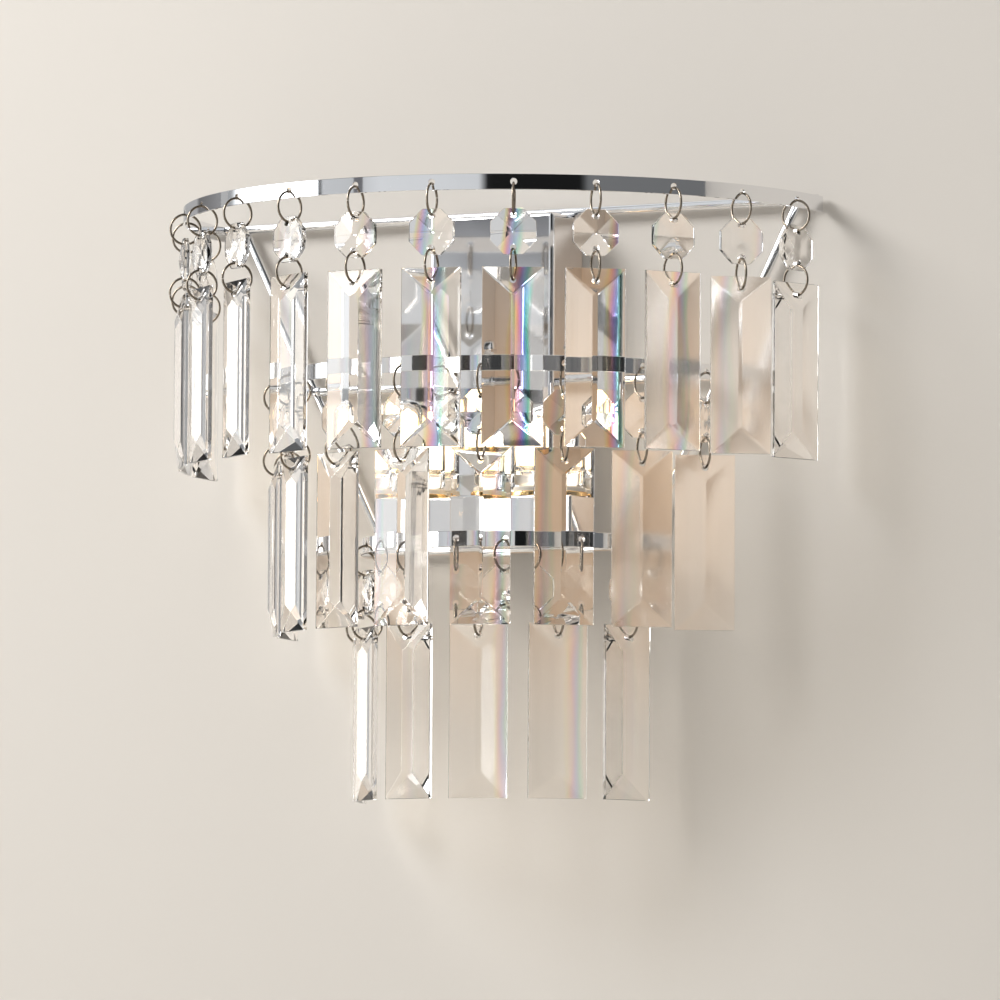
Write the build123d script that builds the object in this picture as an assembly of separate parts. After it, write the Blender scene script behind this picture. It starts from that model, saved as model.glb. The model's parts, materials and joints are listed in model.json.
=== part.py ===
from build123d import *
import os
from math import atan2, cos, degrees, pi, radians, sin, sqrt, tan

# Acrylic droplet wall light: three half round bands on a slim wall box,
# each hung with faceted acrylic droplets, round three upright capsule lamps.
# Millimetres, +Z up, the wall is the plane Y = 0 and the light stands out towards -Y.
# The origin is the middle of the wall bracket's two fixing slots.

# Bands, from the top down
top_band_radius = 140.0
middle_band_radius = 100.0
bottom_band_radius = 66.0
top_droplet_count = 13
middle_droplet_count = 9
bottom_droplet_count = 6
tier_spacing = 68.5
band_height = 6.4
band_thickness = 1.0
band_end_gap = 2.0
end_margin = 22.5
band_hole = 2.6

# Welded rods that carry the bands
crossbar_diameter = 4.0
strut_diameter = 3.5
strut_top_inset = 8.5
strut_bottom_inset = 6.5
strut_middle_inset = 4.5
bar_sides = 16
weld_gap = 0.05

# Droplets
ring_diameter = 12.4
ring_wire = 1.0
ring_sides = 8
bead_size = 18.4
bead_thickness = 5.5
bead_edge = 1.8
bead_hole_spacing = 12.9
prism_length = 71.3
prism_width = 24.5
prism_thickness = 8.3
prism_edge = 1.6
prism_hip = 11.0
prism_hole_drop = 5.4
droplet_hole = 2.6
hanging_clearance = 0.35
threading_clearance = 0.12

# Wall box
box_width = 58.0
box_depth = 26.0
box_wall = 1.2
box_corner = 2.0

# Lamps and their holders
lamp_spacing = 23.5
lamp_sides = 12
holder_diameter = 13.6
holder_height = 10.5
holder_rise = 2.0
holder_clearance = 0.2
collar_width = 1.1
collar_height = 1.8
pin_spacing = 9.0
pin_diameter = 1.4
pin_length = 8.0
pin_clearance = 0.4
pinch_width = 10.4
pinch_depth = 5.0
pinch_height = 6.0
pinch_clearance = 0.15
lamp_seat_gap = 0.3
glass_diameter = 13.0
glass_length = 38.0
glass_wall = 0.9
dome_flattening = 0.92

# Lamp foot on the front of the wall box
foot_height = 17.0
foot_wall = 1.0
foot_side_gap = 0.7
foot_plate_clearance = 0.2
pillar_diameter = 5.0
pillar_tapping = 7.0

# Wall bracket and the soft bush in its cable hole
bracket_plate = 1.5
bracket_flange = 15.0
bracket_clearance = 0.3
bracket_end_gap = 8.3
bracket_bend = 2.5
slot_spacing = 80.0
slot_width = 4.5
slot_length = 12.0
cable_hole = 13.0
cable_sides = 16
grommet_wall = 2.0
grommet_flange = 2.0
grommet_thickness = 1.5
grommet_gap = 0.02

# Fasteners
cover_screw = 4.0
cover_screw_head = 7.6
cover_screw_head_height = 2.2
cover_screw_length = 5.0
cover_screw_level = 12.0
cover_screw_inset = 5.5
small_screw = 3.0
small_screw_length = 6.0
small_head = 5.4
small_head_height = 1.8
small_nut = 5.4
small_nut_height = 2.4
screw_clearance = 0.2
thread_clearance = 0.1

# Electrics inside the wall box
terminal_width = 30.0
terminal_height = 16.0
terminal_depth = 13.0
terminal_base_depth = 4.0
terminal_level = 20.0
terminal_pole_pitch = 9.5
terminal_pole_gap = 1.5
terminal_screw = 3.2
terminal_screw_height = 2.0
terminal_screw_offset = 3.4
terminal_pocket = 4.0
terminal_pocket_depth = 3.0
terminal_wire_depth = 5.4
wire_way = 3.2
lead_hole = 9.0
earth_screw = 4.0
earth_screw_length = 12.0
earth_nut = 7.0
earth_nut_height = 3.2
earth_level = -16.0

# Worked out sizes
rod_radius = crossbar_diameter / 2
rod_y = -(band_end_gap + rod_radius)
box_height = 2 * tier_spacing - rod_radius
box_top = box_height / 2
box_bottom = -box_height / 2
top_band_z = box_top
middle_band_z = top_band_z - tier_spacing
bottom_band_z = middle_band_z - tier_spacing
top_rod_z = box_top + rod_radius
bottom_rod_z = box_bottom - rod_radius
strut_bottom_x = bottom_band_radius - strut_bottom_inset
strut_middle_x = middle_band_radius - strut_middle_inset
strut_spread = (strut_middle_x - strut_bottom_x) / (middle_band_z - bottom_rod_z)
strut_top_reach = strut_bottom_x + strut_spread * (top_rod_z - bottom_rod_z)
# A strut keeps inside the ends of both upper bands, so the middle crossbar always meets it
strut_top_x = min(top_band_radius - strut_top_inset, strut_top_reach)
foot_margin = foot_wall + foot_side_gap
foot_width = 2 * lamp_spacing + holder_diameter + 2 * foot_margin
foot_depth = holder_diameter + 2 * foot_margin
foot_top = box_bottom + foot_height
foot_screw_places = (-lamp_spacing / 2, lamp_spacing / 2)
foot_screw_level = box_bottom + foot_height / 2
lamp_y = -(box_depth + foot_depth / 2)
lamp_places = {"left": -lamp_spacing, "middle": 0.0, "right": lamp_spacing}
collar_diameter = holder_diameter + 2 * collar_width
holder_bore = holder_diameter + 2 * holder_clearance
holder_top = foot_top + collar_height + holder_rise
glass_bottom = holder_top + lamp_seat_gap
bracket_height = box_height - 2 * (box_wall + bracket_end_gap)
bracket_half_width = box_width / 2 - box_wall - bracket_clearance
cover_screw_y = -(bracket_flange - cover_screw_inset)
small_clearance_hole = small_screw + 2 * screw_clearance
small_tapped_hole = small_screw + 2 * thread_clearance
socket_bore = pin_diameter + 2 * pin_clearance
earth_bore = earth_screw + 2 * screw_clearance
parts = {}


def flat_outline(size, sides):
    """A regular outline of the given width over its flats that stands on a flat."""
    return RegularPolygon(size / 2, sides, major_radius=False, rotation=90 - 180 / sides)


def hole_through_y(x, z, size, sides, depth):
    """A many sided cutter that runs along Y, with flats at its top and bottom."""
    face = Plane((x, 0, z), x_dir=(1, 0, 0), z_dir=(0, -1, 0)) * flat_outline(size, sides)
    return extrude(face, depth / 2, both=True)


def rod(start, end, diameter):
    """A round bar between two points."""
    axis = Vector(*end) - Vector(*start)
    return extrude(Plane(start, z_dir=axis) * Circle(diameter / 2), axis.length)


def sided_rod(start, end, size, sides):
    """A many sided bar between two points."""
    axis = Vector(*end) - Vector(*start)
    return extrude(Plane(start, z_dir=axis) * flat_outline(size, sides), axis.length)


def upright(x, y, bottom, top, size, sides):
    """An upright many sided bar with a flat towards the viewer."""
    return extrude(Plane((x, y, bottom)) * flat_outline(size, sides), top - bottom)


def largest(shape):
    """The biggest solid of a cut."""
    return max(shape.solids(), key=lambda solid: solid.volume)


def hole_angles(radius, count):
    """Angles round a band of its holes, from the right end to the left."""
    first = degrees(end_margin / radius)
    step = (180 - 2 * first) / (count - 1)
    return [first + step * index for index in range(count)]


def on_band(radius, level, angle):
    """The place of a band hole, with local -Y pointing outwards."""
    turn = radians(angle)
    return Pos(radius * cos(turn), -radius * sin(turn), level) * Rot(0, 0, 90 - angle)


def wire_rise(half_depth):
    """How far a ring's wire has turned up at the mouth of a hole of this half depth."""
    half_flat = (ring_diameter - ring_wire) / 2 * tan(pi / ring_sides)
    return max(0.0, half_depth - half_flat) * tan(2 * pi / ring_sides)


def seat_offset(half_depth):
    """From a hole's centre to the wire that bears on the rim of the hole."""
    wire_half = ring_wire / 2 / cos(2 * pi / ring_sides)
    return droplet_hole / 2 - wire_half - threading_clearance - wire_rise(half_depth)


# Bead: an octagon with eight facets on each side that meet at its middle
bead_corner = bead_size / 2 / cos(pi / 8)
bead_slope = (bead_thickness - bead_edge) / 2 / bead_corner
bead_half_at_hole = bead_thickness / 2 - bead_slope * bead_hole_spacing / 2 * cos(pi / 8)


def make_bead():
    body = extrude(Plane.XZ * flat_outline(bead_size, 8), bead_thickness / 2, both=True)
    tilt = atan2(bead_slope, 1)
    for side in (-1, 1):
        for facet in range(8):
            turn = pi / 8 + facet * pi / 4
            normal = (sin(tilt) * cos(turn), side * cos(tilt), sin(tilt) * sin(turn))
            plane = Plane((0, side * bead_thickness / 2, 0), z_dir=normal)
            body = split(body, bisect_by=plane, keep=Keep.BOTTOM)
    for level in (-bead_hole_spacing / 2, bead_hole_spacing / 2):
        body = body - hole_through_y(0, level, droplet_hole, 4, 2 * bead_thickness)
    return largest(body)


# Prism: a lozenge section with hipped ends that run out to a thin straight edge
prism_rise = (prism_thickness - prism_edge) / 2
prism_half_at_hole = prism_edge / 2 + prism_rise * min(1.0, prism_hole_drop / prism_hip)


def make_prism():
    half_width = prism_width / 2
    half_edge = prism_edge / 2
    half_thickness = prism_thickness / 2
    section = Polygon(
        (-half_width, -half_edge),
        (0, -half_thickness),
        (half_width, -half_edge),
        (half_width, half_edge),
        (0, half_thickness),
        (-half_width, half_edge),
        align=None,
    )
    body = extrude(section, -prism_length)
    for side in (-1, 1):
        for level, up in ((0, 1), (-prism_length, -1)):
            normal = (0, side * prism_hip, up * prism_rise)
            plane = Plane((0, side * half_edge, level), z_dir=normal)
            body = split(body, bisect_by=plane, keep=Keep.BOTTOM)
    body = body - hole_through_y(0, -prism_hole_drop, droplet_hole, 4, 2 * prism_thickness)
    return largest(body)


def make_ring():
    outer = Plane.YZ * flat_outline(ring_diameter + ring_wire, ring_sides)
    inner = Plane.YZ * flat_outline(ring_diameter - ring_wire, ring_sides)
    return largest(extrude(outer - inner, ring_wire / 2, both=True))


# Heights in a droplet, down from the centre of the band hole
hinge_drop = band_hole / 2 - ring_wire / 2 - hanging_clearance
upper_ring_drop = hinge_drop + ring_diameter / 2
bead_top_hole_drop = upper_ring_drop + ring_diameter / 2 + seat_offset(bead_half_at_hole)
bead_drop = bead_top_hole_drop + bead_hole_spacing / 2
bead_low_hole_drop = bead_drop + bead_hole_spacing / 2
lower_ring_drop = bead_low_hole_drop + seat_offset(bead_half_at_hole) + ring_diameter / 2
prism_hole_level = lower_ring_drop + ring_diameter / 2 + seat_offset(prism_half_at_hole)
prism_top_drop = prism_hole_level - prism_hole_drop
print("droplet hangs from", round(hinge_drop, 3), "to", round(prism_top_drop + prism_length, 3))

ring = make_ring()
bead = make_bead()
prism = make_prism()


def make_droplet(place):
    """Upper ring, bead, lower ring and prism, all hanging in line."""
    return Compound(
        [
            place * Pos(0, 0, -upper_ring_drop) * ring,
            place * Pos(0, 0, -bead_drop) * bead,
            place * Pos(0, 0, -lower_ring_drop) * ring,
            place * Pos(0, 0, -prism_top_drop) * prism,
        ]
    )


def make_band(radius, level, count):
    """A half round strip on edge, pierced once for each droplet."""
    reach = 2 * radius
    strip = Circle(radius + band_thickness / 2) - Circle(radius - band_thickness / 2)
    strip = strip - Pos(0, radius - band_end_gap) * Rectangle(reach + 2 * band_thickness, reach)
    band = Pos(0, 0, level) * extrude(strip, band_height / 2, both=True)
    holes = [
        on_band(radius, level, angle) * Box(band_hole, 4 * band_thickness, band_hole)
        for angle in hole_angles(radius, count)
    ]
    return band - holes


tiers = (
    ("top", top_band_radius, top_band_z, top_droplet_count),
    ("middle", middle_band_radius, middle_band_z, middle_droplet_count),
    ("bottom", bottom_band_radius, bottom_band_z, bottom_droplet_count),
)
for tier, radius, level, count in tiers:
    parts[tier + "_band"] = make_band(radius, level, count)
    for number, angle in enumerate(hole_angles(radius, count), 1):
        place = on_band(radius, level, angle)
        parts[tier + "_droplet_" + str(number).zfill(2)] = make_droplet(place)


# Frame of welded rods
def rod_reach(radius):
    """How far along X a crossbar runs before it meets the inside of a band."""
    far_side = band_end_gap + crossbar_diameter
    return sqrt((radius - band_thickness / 2) ** 2 - far_side**2) - weld_gap


def crossbar(radius, level):
    reach = rod_reach(radius)
    return rod((-reach, rod_y, level), (reach, rod_y, level), crossbar_diameter)


def strut_line(side, size):
    """A slanting bar from the top crossbar to the bottom one, with many flats."""
    top = (side * strut_top_x, rod_y, top_rod_z)
    bottom = (side * strut_bottom_x, rod_y, bottom_rod_z)
    return sided_rod(top, bottom, size, bar_sides)


def make_strut(side):
    """A strut coped round both crossbars."""
    bar = strut_line(side, strut_diameter)
    reach = 2 * top_band_radius
    size = crossbar_diameter + 2 * weld_gap
    for level in (top_rod_z, bottom_rod_z):
        bar = bar - sided_rod((-reach, rod_y, level), (reach, rod_y, level), size, bar_sides)
    return largest(bar)


def make_middle_crossbar(side):
    """Two stubs in line, from the wall box to the strut and on to the band."""
    near = side * (box_width / 2 + weld_gap)
    far = side * rod_reach(middle_band_radius)
    ends = (near, rod_y, middle_band_z), (far, rod_y, middle_band_z)
    bar = sided_rod(*ends, crossbar_diameter, bar_sides)
    return Compound((bar - strut_line(side, strut_diameter + 2 * weld_gap)).solids())


parts["top_crossbar"] = crossbar(top_band_radius, top_rod_z)
parts["bottom_crossbar"] = crossbar(bottom_band_radius, bottom_rod_z)
for name, side in (("left", -1), ("right", 1)):
    parts[name + "_strut"] = make_strut(side)
    parts[name + "_middle_crossbar"] = make_middle_crossbar(side)


# Wall box, a chromed shell open at the wall
def make_wall_box():
    body = Pos(0, -box_depth / 2, 0) * Box(box_width, box_depth, box_height)
    body = fillet(body.edges().filter_by(Axis.Z).group_by(Axis.Y)[0], box_corner)
    back = body.faces().sort_by(Axis.Y)[-1]
    shell = offset(body, amount=-box_wall, openings=back)
    for side in (-1, 1):
        start = (side * (box_width / 2 - 3 * box_wall), cover_screw_y, cover_screw_level)
        end = (side * (box_width / 2 + box_wall), cover_screw_y, cover_screw_level)
        shell = shell - sided_rod(start, end, cover_screw + 2 * screw_clearance, 8)
    return shell - foot_wall_cutters()


def foot_wall_cutters():
    """Bores for the leads and the two foot screws, through the box front and the foot's back."""
    near = -(box_depth - 3 * box_wall)
    far = -(box_depth + 3 * foot_wall)
    bores = [(0, lead_hole)] + [(x, small_clearance_hole) for x in foot_screw_places]
    cutters = []
    for x, size in bores:
        cutters.append(sided_rod((x, near, foot_screw_level), (x, far, foot_screw_level), size, 8))
    return cutters


parts["wall_box"] = make_wall_box()


# Lamp foot, a shell open underneath, and the plate that closes it
def make_lamp_foot():
    middle = (foot_top + box_bottom) / 2
    outer = Pos(0, lamp_y, middle) * Box(foot_width, foot_depth, foot_height)
    outer = fillet(outer.edges().filter_by(Axis.Z).group_by(Axis.Y)[0], box_corner)
    inner_width = foot_width - 2 * foot_wall
    inner_depth = foot_depth - 2 * foot_wall
    shell = outer - Pos(0, lamp_y, middle - foot_wall) * Box(inner_width, inner_depth, foot_height)
    for x in lamp_places.values():
        shell = shell - upright(x, lamp_y, foot_top - foot_wall, foot_top, holder_bore, lamp_sides)
    pillar_end = box_bottom + foot_wall + foot_plate_clearance
    for x in foot_screw_places:
        pillar = upright(x, lamp_y, pillar_end, foot_top - foot_wall, pillar_diameter, 8)
        tapping = upright(x, lamp_y, pillar_end, pillar_end + pillar_tapping, small_tapped_hole, 8)
        shell = shell + (pillar - tapping)
    return shell - foot_wall_cutters()


def make_foot_plate():
    width = foot_width - 2 * foot_wall - 2 * foot_plate_clearance
    depth = foot_depth - 2 * foot_wall - 2 * foot_plate_clearance
    plate = Pos(0, lamp_y, box_bottom + foot_wall / 2) * Box(width, depth, foot_wall)
    for x in foot_screw_places:
        plate = plate - upright(x, lamp_y, box_bottom, box_bottom + foot_wall, small_clearance_hole, 8)
    return plate


def pan_screw(place, diameter, head, head_height, length):
    """A screw with its head from 0 to the head height and its shank down to the length."""
    top = extrude(flat_outline(head, 8), head_height)
    top = chamfer(top.edges().group_by(Axis.Z)[-1], head_height / 3)
    shank = extrude(flat_outline(diameter, 8), -length)
    slot = Pos(0, 0, head_height) * Box(head * 0.7, head * 0.16, head_height)
    return largest(place * (top + shank - slot))


def small_pan_screw(place):
    return pan_screw(place, small_screw, small_head, small_head_height, small_screw_length)


def make_foot_nut(x):
    """A nut on the inner side of the box front."""
    face = Plane((x, -(box_depth - box_wall), foot_screw_level), z_dir=(0, 1, 0))
    body = extrude(face * flat_outline(small_nut, 6), small_nut_height)
    return largest(body - extrude(face * flat_outline(small_tapped_hole, 8), small_nut_height))


plate_screws = []
foot_screws = []
for x in foot_screw_places:
    plate_screws.append(small_pan_screw(Pos(x, lamp_y, box_bottom) * Rot(180, 0, 0)))
    foot_screws.append(small_pan_screw(Pos(x, -(box_depth + foot_wall), foot_screw_level) * Rot(90, 0, 0)))
parts["lamp_foot"] = make_lamp_foot()
parts["foot_plate"] = make_foot_plate()
parts["plate_screws"] = Compound(plate_screws)
parts["foot_screws"] = Compound(foot_screws)
parts["foot_nuts"] = Compound([make_foot_nut(x) for x in foot_screw_places])


# Lampholders, their gold collars and the capsule lamps
def make_lampholder(x):
    """A ceramic body with two pin sockets."""
    body = upright(x, lamp_y, foot_top - holder_height, holder_top, holder_diameter, lamp_sides)
    socket_bottom = holder_top - pin_length - 2 * pin_clearance
    for side in (-1, 1):
        pin_x = x + side * pin_spacing / 2
        body = body - upright(pin_x, lamp_y, socket_bottom, holder_top, socket_bore, 6)
    return body


def make_collar(x):
    collar_top = foot_top + collar_height
    outer = upright(x, lamp_y, foot_top, collar_top, collar_diameter, lamp_sides)
    return largest(outer - upright(x, lamp_y, foot_top, collar_top, holder_bore, lamp_sides))


def capsule(x, bottom, diameter, length):
    """A flat sided tube with a rounded top, built up from rings of flat faces."""
    dome = diameter / 2
    stops = [(0.0, 1.0), (length - dome, 1.0)]
    for turn in (pi / 5, pi * 2 / 5):
        stops.append((length - dome + dome * dome_flattening * sin(turn), cos(turn)))
    rings = []
    for height, share in stops:
        corner = diameter / 2 / cos(pi / lamp_sides) * share
        turns = [2 * pi * (side + 0.5) / lamp_sides for side in range(lamp_sides)]
        rings.append([Vector(x + corner * cos(a), lamp_y + corner * sin(a), bottom + height) for a in turns])
    faces = [Face(Wire.make_polygon(rings[0])), Face(Wire.make_polygon(rings[-1]))]
    for lower, upper in zip(rings, rings[1:]):
        for side in range(lamp_sides):
            after = (side + 1) % lamp_sides
            corners = [lower[side], lower[after], upper[after], upper[side]]
            faces.append(Face(Wire.make_polygon(corners)))
    return Solid(Shell(faces))


def make_lamp_glass(x):
    """A glass tube whose foot is pinched round the metal base."""
    outer = capsule(x, glass_bottom, glass_diameter, glass_length)
    inner_bottom = glass_bottom + pinch_height
    inner_length = glass_length - pinch_height - glass_wall
    inner = capsule(x, inner_bottom, glass_diameter - 2 * glass_wall, inner_length)
    width = pinch_width + 2 * pinch_clearance
    depth = pinch_depth + 2 * pinch_clearance
    recess = Pos(x, lamp_y, glass_bottom + pinch_height / 2) * Box(width, depth, pinch_height)
    return outer - inner - recess


def make_lamp_base(x):
    """The pinched foot of the capsule with its two pins."""
    height = pinch_height - pinch_clearance
    foot = Pos(x, lamp_y, glass_bottom + height / 2) * Box(pinch_width, pinch_depth, height)
    for side in (-1, 1):
        pin_x = x + side * pin_spacing / 2
        foot = foot + upright(pin_x, lamp_y, glass_bottom - pin_length, glass_bottom, pin_diameter, 6)
    return foot


for name, x in lamp_places.items():
    parts[name + "_lampholder"] = make_lampholder(x)
    parts[name + "_lamp_glass"] = make_lamp_glass(x)
    parts[name + "_lamp_base"] = make_lamp_base(x)
parts["holder_collars"] = Compound([make_collar(x) for x in lamp_places.values()])


# Wall bracket, a channel of folded strip
def make_bracket():
    inner = bracket_half_width - bracket_plate
    outline = Polyline(
        (-bracket_half_width, -bracket_flange),
        (-bracket_half_width, 0),
        (bracket_half_width, 0),
        (bracket_half_width, -bracket_flange),
        (inner, -bracket_flange),
        (inner, -bracket_plate),
        (-inner, -bracket_plate),
        (-inner, -bracket_flange),
        (-bracket_half_width, -bracket_flange),
    )
    channel = extrude(make_face(outline), bracket_height / 2, both=True)
    upright_edges = channel.edges().filter_by(Axis.Z).group_by(Axis.Y)
    channel = fillet(upright_edges[-1], bracket_bend)
    upright_edges = channel.edges().filter_by(Axis.Z)
    inner_bends = [edge for edge in upright_edges if is_inner_bend(edge.center(), inner)]
    channel = chamfer(inner_bends, bracket_bend - bracket_plate)
    front = Plane((0, 0, 0), x_dir=(0, 0, 1), z_dir=(0, -1, 0))
    for level in (-slot_spacing / 2, slot_spacing / 2):
        slot = front * Pos(level, 0) * SlotOverall(slot_length, slot_width)
        channel = channel - extrude(slot, 3 * bracket_plate, both=True)
    channel = channel - hole_through_y(0, 0, cable_hole, cable_sides, 4 * bracket_plate)
    channel = channel - hole_through_y(0, earth_level, earth_bore, 8, 4 * bracket_plate)
    for side in (-1, 1):
        start = (side * (inner - bracket_plate), cover_screw_y, cover_screw_level)
        end = (side * (bracket_half_width + bracket_plate), cover_screw_y, cover_screw_level)
        channel = channel - sided_rod(start, end, cover_screw + 2 * thread_clearance, 8)
    return channel


def is_inner_bend(middle, inner):
    """Whether an upright edge lies where a flange meets the inner side of the plate."""
    return abs(middle.Y + bracket_plate) < weld_gap and abs(abs(middle.X) - inner) < weld_gap


def make_grommet():
    """A soft bush that lines the cable hole, its lip on the inner side."""
    lip_end = (0, -bracket_plate - grommet_thickness, 0)
    sleeve = sided_rod((0, 0, 0), lip_end, cable_hole - 2 * thread_clearance, cable_sides)
    lip_start = (0, -bracket_plate - grommet_gap, 0)
    lip = sided_rod(lip_start, lip_end, cable_hole + 2 * grommet_flange, cable_sides)
    return sleeve + lip - rod((0, 0, 0), lip_end, cable_hole - 2 * grommet_wall)


cover_screws = []
for side in (-1, 1):
    place = Pos(side * box_width / 2, cover_screw_y, cover_screw_level) * Rot(0, 90 * side, 0)
    cover_screws.append(
        pan_screw(place, cover_screw, cover_screw_head, cover_screw_head_height, cover_screw_length)
    )
parts["wall_bracket"] = make_bracket()
parts["cover_screws"] = Compound(cover_screws)
parts["cable_grommet"] = make_grommet()


# Terminal block with three poles, and the earth screw
def make_terminal_block():
    base = Pos(0, -bracket_plate - terminal_base_depth / 2, terminal_level)
    body = base * Box(terminal_width, terminal_base_depth, terminal_height)
    pole_width = terminal_pole_pitch - terminal_pole_gap
    pole_height = terminal_height - 2 * terminal_pole_gap
    for pole in (-1, 0, 1):
        place = Pos(pole * terminal_pole_pitch, -bracket_plate, terminal_level)
        body = body + place * Pos(0, -terminal_depth / 2, 0) * Box(pole_width, terminal_depth, pole_height)
        body = body - place * Pos(0, -terminal_wire_depth, 0) * Box(wire_way, wire_way, terminal_height)
        for up in (-terminal_screw_offset, terminal_screw_offset):
            pocket = Box(terminal_pocket, terminal_pocket_depth, terminal_pocket)
            body = body - place * Pos(0, terminal_pocket_depth / 2 - terminal_depth, up) * pocket
    return largest(body)


def make_terminal_screws():
    screws = []
    for pole in (-1, 0, 1):
        for up in (-terminal_screw_offset, terminal_screw_offset):
            floor = -bracket_plate - terminal_depth + terminal_pocket_depth
            face = Plane((pole * terminal_pole_pitch, floor, terminal_level + up), z_dir=(0, -1, 0))
            screw = extrude(face * flat_outline(terminal_screw, 6), terminal_screw_height)
            screws.append(largest(screw))
    return Compound(screws)


def make_earth_post():
    """A stud through the bracket with its nut on the inner side."""
    back = Plane((0, 0, earth_level), z_dir=(0, -1, 0))
    stud = extrude(back * flat_outline(earth_screw, 8), earth_screw_length)
    seat = back.offset(bracket_plate)
    nut = extrude(seat * flat_outline(earth_nut, 6), earth_nut_height)
    nut = nut - extrude(seat * flat_outline(earth_screw + 2 * thread_clearance, 8), earth_nut_height)
    return Compound([largest(stud), largest(nut)])


parts["terminal_block"] = make_terminal_block()
parts["terminal_screws"] = make_terminal_screws()
parts["earth_post"] = make_earth_post()

os.makedirs("parts", exist_ok=True)
for name, shape in parts.items():
    shape.label = name
    export_step(shape, "parts/" + name + ".step")
print(len(parts), "sub-parts written")
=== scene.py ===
import json
import random
from math import asin, atan2, cos, pi, radians, sin, sqrt

import bmesh
import bpy
from bpy.props import FloatProperty, FloatVectorProperty, PointerProperty
from mathutils import Matrix, Vector


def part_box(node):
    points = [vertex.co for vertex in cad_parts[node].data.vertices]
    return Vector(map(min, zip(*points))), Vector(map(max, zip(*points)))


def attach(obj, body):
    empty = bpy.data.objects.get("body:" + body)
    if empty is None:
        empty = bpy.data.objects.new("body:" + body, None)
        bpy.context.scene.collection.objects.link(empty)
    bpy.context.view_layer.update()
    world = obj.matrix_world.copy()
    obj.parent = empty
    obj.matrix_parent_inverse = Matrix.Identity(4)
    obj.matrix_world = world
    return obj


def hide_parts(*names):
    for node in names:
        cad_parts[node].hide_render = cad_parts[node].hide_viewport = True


bl_info = {
    "name": "Acrylic Droplet Wall Light",
    "version": (1, 0, 0),
    "blender": (4, 5, 0),
    "location": "3D View > Sidebar > Wall Light",
    "description": "Builds a half round wall light hung with faceted acrylic droplets",
    "category": "Object",
}

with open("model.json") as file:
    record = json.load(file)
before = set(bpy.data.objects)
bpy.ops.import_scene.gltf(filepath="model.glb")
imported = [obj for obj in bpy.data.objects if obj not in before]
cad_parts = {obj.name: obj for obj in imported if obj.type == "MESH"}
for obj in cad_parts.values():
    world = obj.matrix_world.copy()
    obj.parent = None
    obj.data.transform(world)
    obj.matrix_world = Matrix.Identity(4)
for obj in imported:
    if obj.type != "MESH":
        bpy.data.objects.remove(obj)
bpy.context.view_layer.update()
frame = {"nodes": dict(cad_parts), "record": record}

# Nodes and bodies of the frame
TIERS = ("top", "middle", "bottom")
SIDES = ("left", "right")
LAMPS = ("left", "middle", "right")
SWINGS = [joint for joint in frame["record"]["behaviour"]["joints"] if joint["name"].endswith("_swing")]

# Droplets that have turned on their rings, in degrees towards the right front
TURNED_DROPLETS = {
    "top_droplet_01": 12.0,
    "top_droplet_02": 32.0,
    "top_droplet_08": 12.0,
    "top_droplet_09": 12.0,
    "middle_droplet_01": 44.0,
    "middle_droplet_02": 26.0,
}

# Droplets whose back has stayed milky from the mould
MILKY_DROPLETS = (
    "top_droplet_02", "top_droplet_03", "middle_droplet_01",
    "middle_droplet_02", "bottom_droplet_02", "bottom_droplet_03",
)

# How far a loose ring leans, in degrees, and how far its cut lies from the top, in radians
RING_LEAN = (1, 9)
RING_CUT_TURN = (0.6, 2.4)

# Between the two pins of a lamp, and the bore of a foot or plate screw
PIN_SPACING = 0.009
SCREW_BORE = 0.0034


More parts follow.
